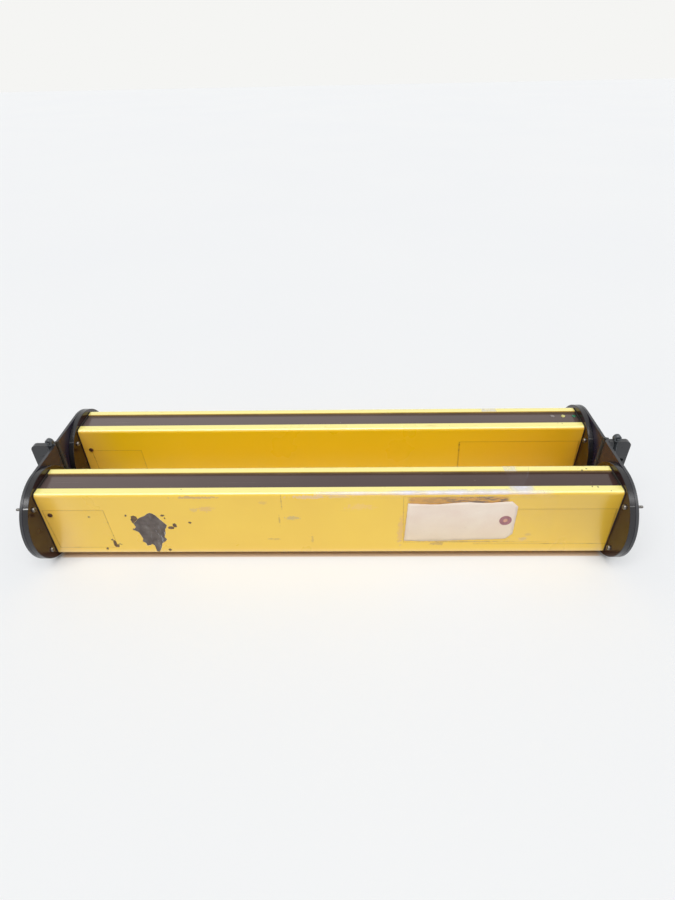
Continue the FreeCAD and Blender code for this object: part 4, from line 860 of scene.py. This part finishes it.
# How far the worn long edges stray outwards from straight, in millimetres, at shares of their length.
STRAY = {0: [(0.0, 0.0), (0.04, 0.6), (0.18, 1.9), (0.32, 2.2), (0.46, 1.8), (0.67, 0.9), (0.90, 0.7), (1.0, 0.0)],
         4: [(0.0, 0.0), (0.10, -0.2), (0.22, -1.3), (0.32, -1.0), (0.42, -0.1), (0.55, -0.6), (0.73, -2.1),
             (0.87, -1.5), (1.0, 0.0)]}
outline = [(-HALF_W - 1.0, -HALF_H), (HALF_W - TAG_CLIP, -HALF_H), (HALF_W, -HALF_H + TAG_CLIP),
           (HALF_W, HALF_H - TAG_CLIP), (HALF_W - TAG_CLIP, HALF_H), (-HALF_W + 1.5, HALF_H)]
edge_points = []
for i, (x0, z0) in enumerate(outline):
    x1, z1 = outline[(i + 1) % len(outline)]
    steps = max(2, int(math.hypot(x1 - x0, z1 - z0) / 2.5))
    stray = STRAY.get(i, [])
    for k in range(steps):
        t = k / steps
        wander = 0.12 * math.sin(k * 1.7 + i) if k else 0.0
        for (t0, s0), (t1, s1) in zip(stray, stray[1:]):
            if t0 <= t < t1:
                wander += s0 + (s1 - s0) * (t - t0) / (t1 - t0)
        across = Vector((z1 - z0, x0 - x1)).normalized() * wander
        edge_points.append(Vector((x0 + (x1 - x0) * t + across.x, z0 + (z1 - z0) * t + across.y)))
hole_points = [Vector((47.6 + HOLE_RADIUS * math.cos(a * math.pi / 12), HOLE_RADIUS * math.sin(a * math.pi / 12)))
               for a in range(HOLE_SIDES)]
inside = [Vector((x, z)) for x in range(-54, 56, 2) for z in range(-25, 24, 2)
          if (Vector((x, z)) - HOLE).length > 4 and x + abs(z) < 76]
around = len(edge_points)
rim_edges = [(i, (i + 1) % around) for i in range(around)]
rim_edges += [(around + i, around + (i + 1) % HOLE_SIDES) for i in range(HOLE_SIDES)]
spots, _, faces, _, _, _ = delaunay_2d_cdt(edge_points + hole_points + inside, rim_edges, [], 1, 0.0001)

# The sheet stands a little off the face, more where it is cockled and at its left end, and least round the ring.
tag = bmesh.new()
verts = []
cos_t, sin_t = math.cos(TAG_TILT), math.sin(TAG_TILT)
for p in spots:
    near_ring = max(0.0, 1 - (p - HOLE).length / 14)
    cockle = 0.25 * math.sin(p.x * 0.11 + 1.0) * math.sin(p.y * 0.14 + 0.6) + 0.25
    left_lift = 0.5 * max(0.0, (-p.x - 40) / 18) ** 2
    away = (cockle + left_lift) * (1 - near_ring)
    verts.append(tag.verts.new(((TAG_X + p.x * cos_t - p.y * sin_t) * MM, FACE - (0.05 + away) * MM,
                                (TAG_Z + p.x * sin_t + p.y * cos_t) * MM)))
for face in faces:
    centre = sum((spots[i] for i in face), Vector((0, 0))) / len(face)
    if (centre - HOLE).length > HOLE_RADIUS * 0.99:
        tag.faces.new([verts[i] for i in face])
bmesh.ops.delete(tag, geom=[v for v in tag.verts if not v.link_faces], context="VERTS")
tag_mesh = settled("tag_sheet", tag)
smooth(tag_mesh, 60)
tag_sheet = add_object("tag_sheet", tag_mesh, tag_paper)
thickness = tag_sheet.modifiers.new("paper thickness", "SOLIDIFY")
thickness.thickness = TAG_THICK * MM
thickness.offset = 1.0
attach(tag_sheet, "root")
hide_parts("paper_tag")
dress(tag_paper, "paper_tag")
dress(finish("ring_paper", (150, 98, 104), (180, 126, 130), 0.65, 1500.0, 0.00008, ((120, 76, 82), 0.4, 0.4),
             clouds=200.0), "tag_ring")


# Clear tape.
# Wide clear tape holds the tag down. A second length runs along the bar's top edge, where it has lifted and gone
# milky and is painted white as its glare, a narrow one crosses the window with a painted glint, and a scrap is
# left on the rear bar's far lip, painted pale as its glint.

def film(name, clear, film_colour, frost=0.3, bumps=300.0, clouds=160.0, zones=()):
    """A clear film. In each zone, a box in metres, it turns pale and less clear: partly tape that has lifted and gone
    milky, partly painted glare and glints.
    """
    material, tree = new_material(name)
    texture = grained(tree, bumps, clouds)
    alpha = calc(tree, "ADD", clear, times(tree, rubbed(tree, (60.0, 240.0, 240.0), 0.55, 4.0), clear))
    patchy = calc(tree, "ADD", 0.45, times(tree, texture["Cloud"], 0.55))
    for x0, x1, y0, y1, z0, z1, amount in zones:
        at = where(tree)
        milk_and_glare = times(tree, between(tree, at[0], x0, x1, min(0.03, (x1 - x0) / 8)),
                       between(tree, at[1], y0, y1, 0.0006), between(tree, at[2], z0, z1, 0.0004), amount, patchy)
        alpha = calc(tree, "MAXIMUM", alpha, milk_and_glare)
    shade(tree, rgb(*film_colour), frost, (texture, 0.5, 0.0003), {"Alpha": alpha})
    return material


def wrap(name, rows, stations, left, right, surface, border=None):
    """A film as a grid. Rows are (y, z, shift of the left end, shift of the right end) round the section of the bar,
    in millimetres, and the stations are the shares of the width. The outermost faces get the border's finish."""
    sheet = bmesh.new()
    grid = [[sheet.verts.new(((left + from_left + (right + from_right - left - from_left) * t) * MM, y * MM, z * MM))
             for t in stations] for y, z, from_left, from_right in rows]
    for r, c in product(range(len(rows) - 1), range(len(stations) - 1)):
        face = sheet.faces.new((grid[r][c], grid[r][c + 1], grid[r + 1][c + 1], grid[r + 1][c]))
        if border and (r in (0, len(rows) - 2) or c in (0, len(stations) - 2)):
            face.material_index = 1
    mesh = settled(name, sheet)
    smooth(mesh, 60)
    piece = add_object(name, mesh, *([surface, border] if border else [surface]))
    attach(piece, "root")
    return piece


TOP_MM = BAR_TOP / MM
UNDER_MM = BAR_UNDER / MM
OVER = 0.12
CORNER_STEPS = 6
even = [c / 24 for c in range(25)]
film_edge = film("film_edge", 0.30, (176, 132, 58))

# Over the tag: it stands clear of the face where the tag lies under it and is pressed down all round.
tag_film = film("tag_film", 0.012, (226, 226, 242), 0.14, 500.0)
tape_edge = film("tape_edge", 0.20, (186, 142, 84))
tape_rows = [(-82 - OVER, UNDER_MM + height, shift, shift) for height, shift in (
    (16.4, 3.0), (17.0, 3.0), (30.0, 2.4), (50.0, 1.2), (70.0, 0.4), (83.0, 0.0), (83.6, 0.0))]
tag_tape = wrap("tag_tape", tape_rows, [0.0, 0.006, 0.05] + even[2:-1] + [0.9995, 1.0], 80.0, 239.0, tag_film,
                tape_edge)
for corner in tag_tape.data.vertices:
    if 83 < corner.co.x / MM < 204 and corner.co.z / MM > UNDER_MM + 18:
        corner.co.y -= 1.3 * MM

# Along the front top edge: it turns over the edge and has come loose there; its white zones are partly milky tape
# and partly painted glare.
edge_film = film("edge_film", 0.02, (234, 234, 255), 0.14, 500.0, 55.0, [
    (0.190, 0.214, -0.0818, -0.0700, BAR_TOP - 0.0020, BAR_TOP + 0.001, 0.95),
    (0.070, 0.222, -0.0818, -0.0781, BAR_TOP - 0.0030, BAR_TOP + 0.001, 0.90),
    (-0.012, 0.200, -0.0818, -0.0790, BAR_TOP - 0.0030, BAR_TOP + 0.001, 0.60),
    (0.120, 0.195, -0.0818, -0.0760, BAR_TOP - 0.0020, BAR_TOP + 0.001, 0.50)])
edge_rows = [(-82 - OVER, TOP_MM - 8.0, 0.0, 0.0)]
for step in range(CORNER_STEPS + 1):
    a = math.radians(90 * step / CORNER_STEPS)
    edge_rows.append((-78 - (4 + OVER) * math.cos(a), TOP_MM - 4 + (4 + OVER) * math.sin(a), 0.0, 0.0))
edge_rows.append((-71.9, TOP_MM + OVER, 2.0, -20.0))
wrap("edge_tape", edge_rows, [c / 48 for c in range(49)], -12.0, 234.0, edge_film)

# Across the window: nearly invisible, but for its right edge and a painted glint on the far lip.
window_film = film("window_film", 0.012, (232, 232, 246), 0.14, 500.0, zones=[
    (0.189, 0.204, -0.0470, -0.0385, BAR_TOP - 0.0006, BAR_TOP + 0.001, 0.5)])
window_edge = film("window_edge", 0.13, (214, 214, 226))
strip_rows = [(-71.85, TOP_MM + 0.1, 0.0, -7.4), (-71.8, TOP_MM + 0.1, 0.0, -7.4), (-70.6, TOP_MM, 0.4, -6.6),
              (-66.0, TOP_MM - 2.3, 1.0, -3.7), (-52.0, TOP_MM - 2.3, 2.6, 5.0), (-47.4, TOP_MM, -0.6, 6.4),
              (-46.2, TOP_MM + 0.1, -0.9, 7.0), (-38.55, TOP_MM + OVER, -2.1, 9.3), (-38.5, TOP_MM + OVER, -2.1, 9.3)]
wrap("window_tape", strip_rows, [0.0, 0.002, 0.2, 0.4, 0.6, 0.8, 0.975, 1.0], 192.0, 210.0, window_film, window_edge)

# The scrap's pale zone is a painted glint.
scrap = film("tape_scrap", 0.10, (232, 232, 238), 0.2, 500.0, zones=[
    (0.190, 0.209, 0.0710, 0.0795, BAR_TOP - 0.001, BAR_TOP + 0.001, 0.75)])
scrap_rows = [(71.8, TOP_MM + 0.1, 0.0, 0.0), (76.0, TOP_MM + 0.14, 0.0, 0.0), (78.4, TOP_MM + 0.1, 0.0, 0.0)]
wrap("rear_lip_tape", scrap_rows, even[::4], 190.0, 209.0, scrap)


# Clear label films.
# A clear film is stuck near each end of each front face, with a thin line where its edge catches dirt.
# They are blank.

label_film = film("label_film", 0.025, (206, 166, 72), 0.2)
EDGED = [0.0, 0.012, 0.25, 0.5, 0.75, 0.988, 1.0]
# This one's left edge lies over the tag, where it shows less.
HALF_EDGED = [0.0, 0.0005] + EDGED[2:]
FILMS = [("emitter_left_film", -82, -303, -237, 10, 66.5, EDGED),
         ("emitter_right_film", -82, 158, 304, 13.6, 65.5, HALF_EDGED),
         ("receiver_left_film", 36, -296, -233.5, 6, 58.5, EDGED),
         ("receiver_right_film", 36, 158, 304, 12, 68, EDGED)]
for name, face_y, left, right, bottom, top, stations in FILMS:
    rows = [(face_y - 0.08, UNDER_MM + height, shift, shift) for height, shift in (
        (bottom, 2.5), (bottom + 0.7, 2.5), ((bottom + top) / 2, 1.2), (top - 0.7, 0.0), (top, 0.0))]
    wrap(name, rows, stations, left, right, label_film, film_edge)
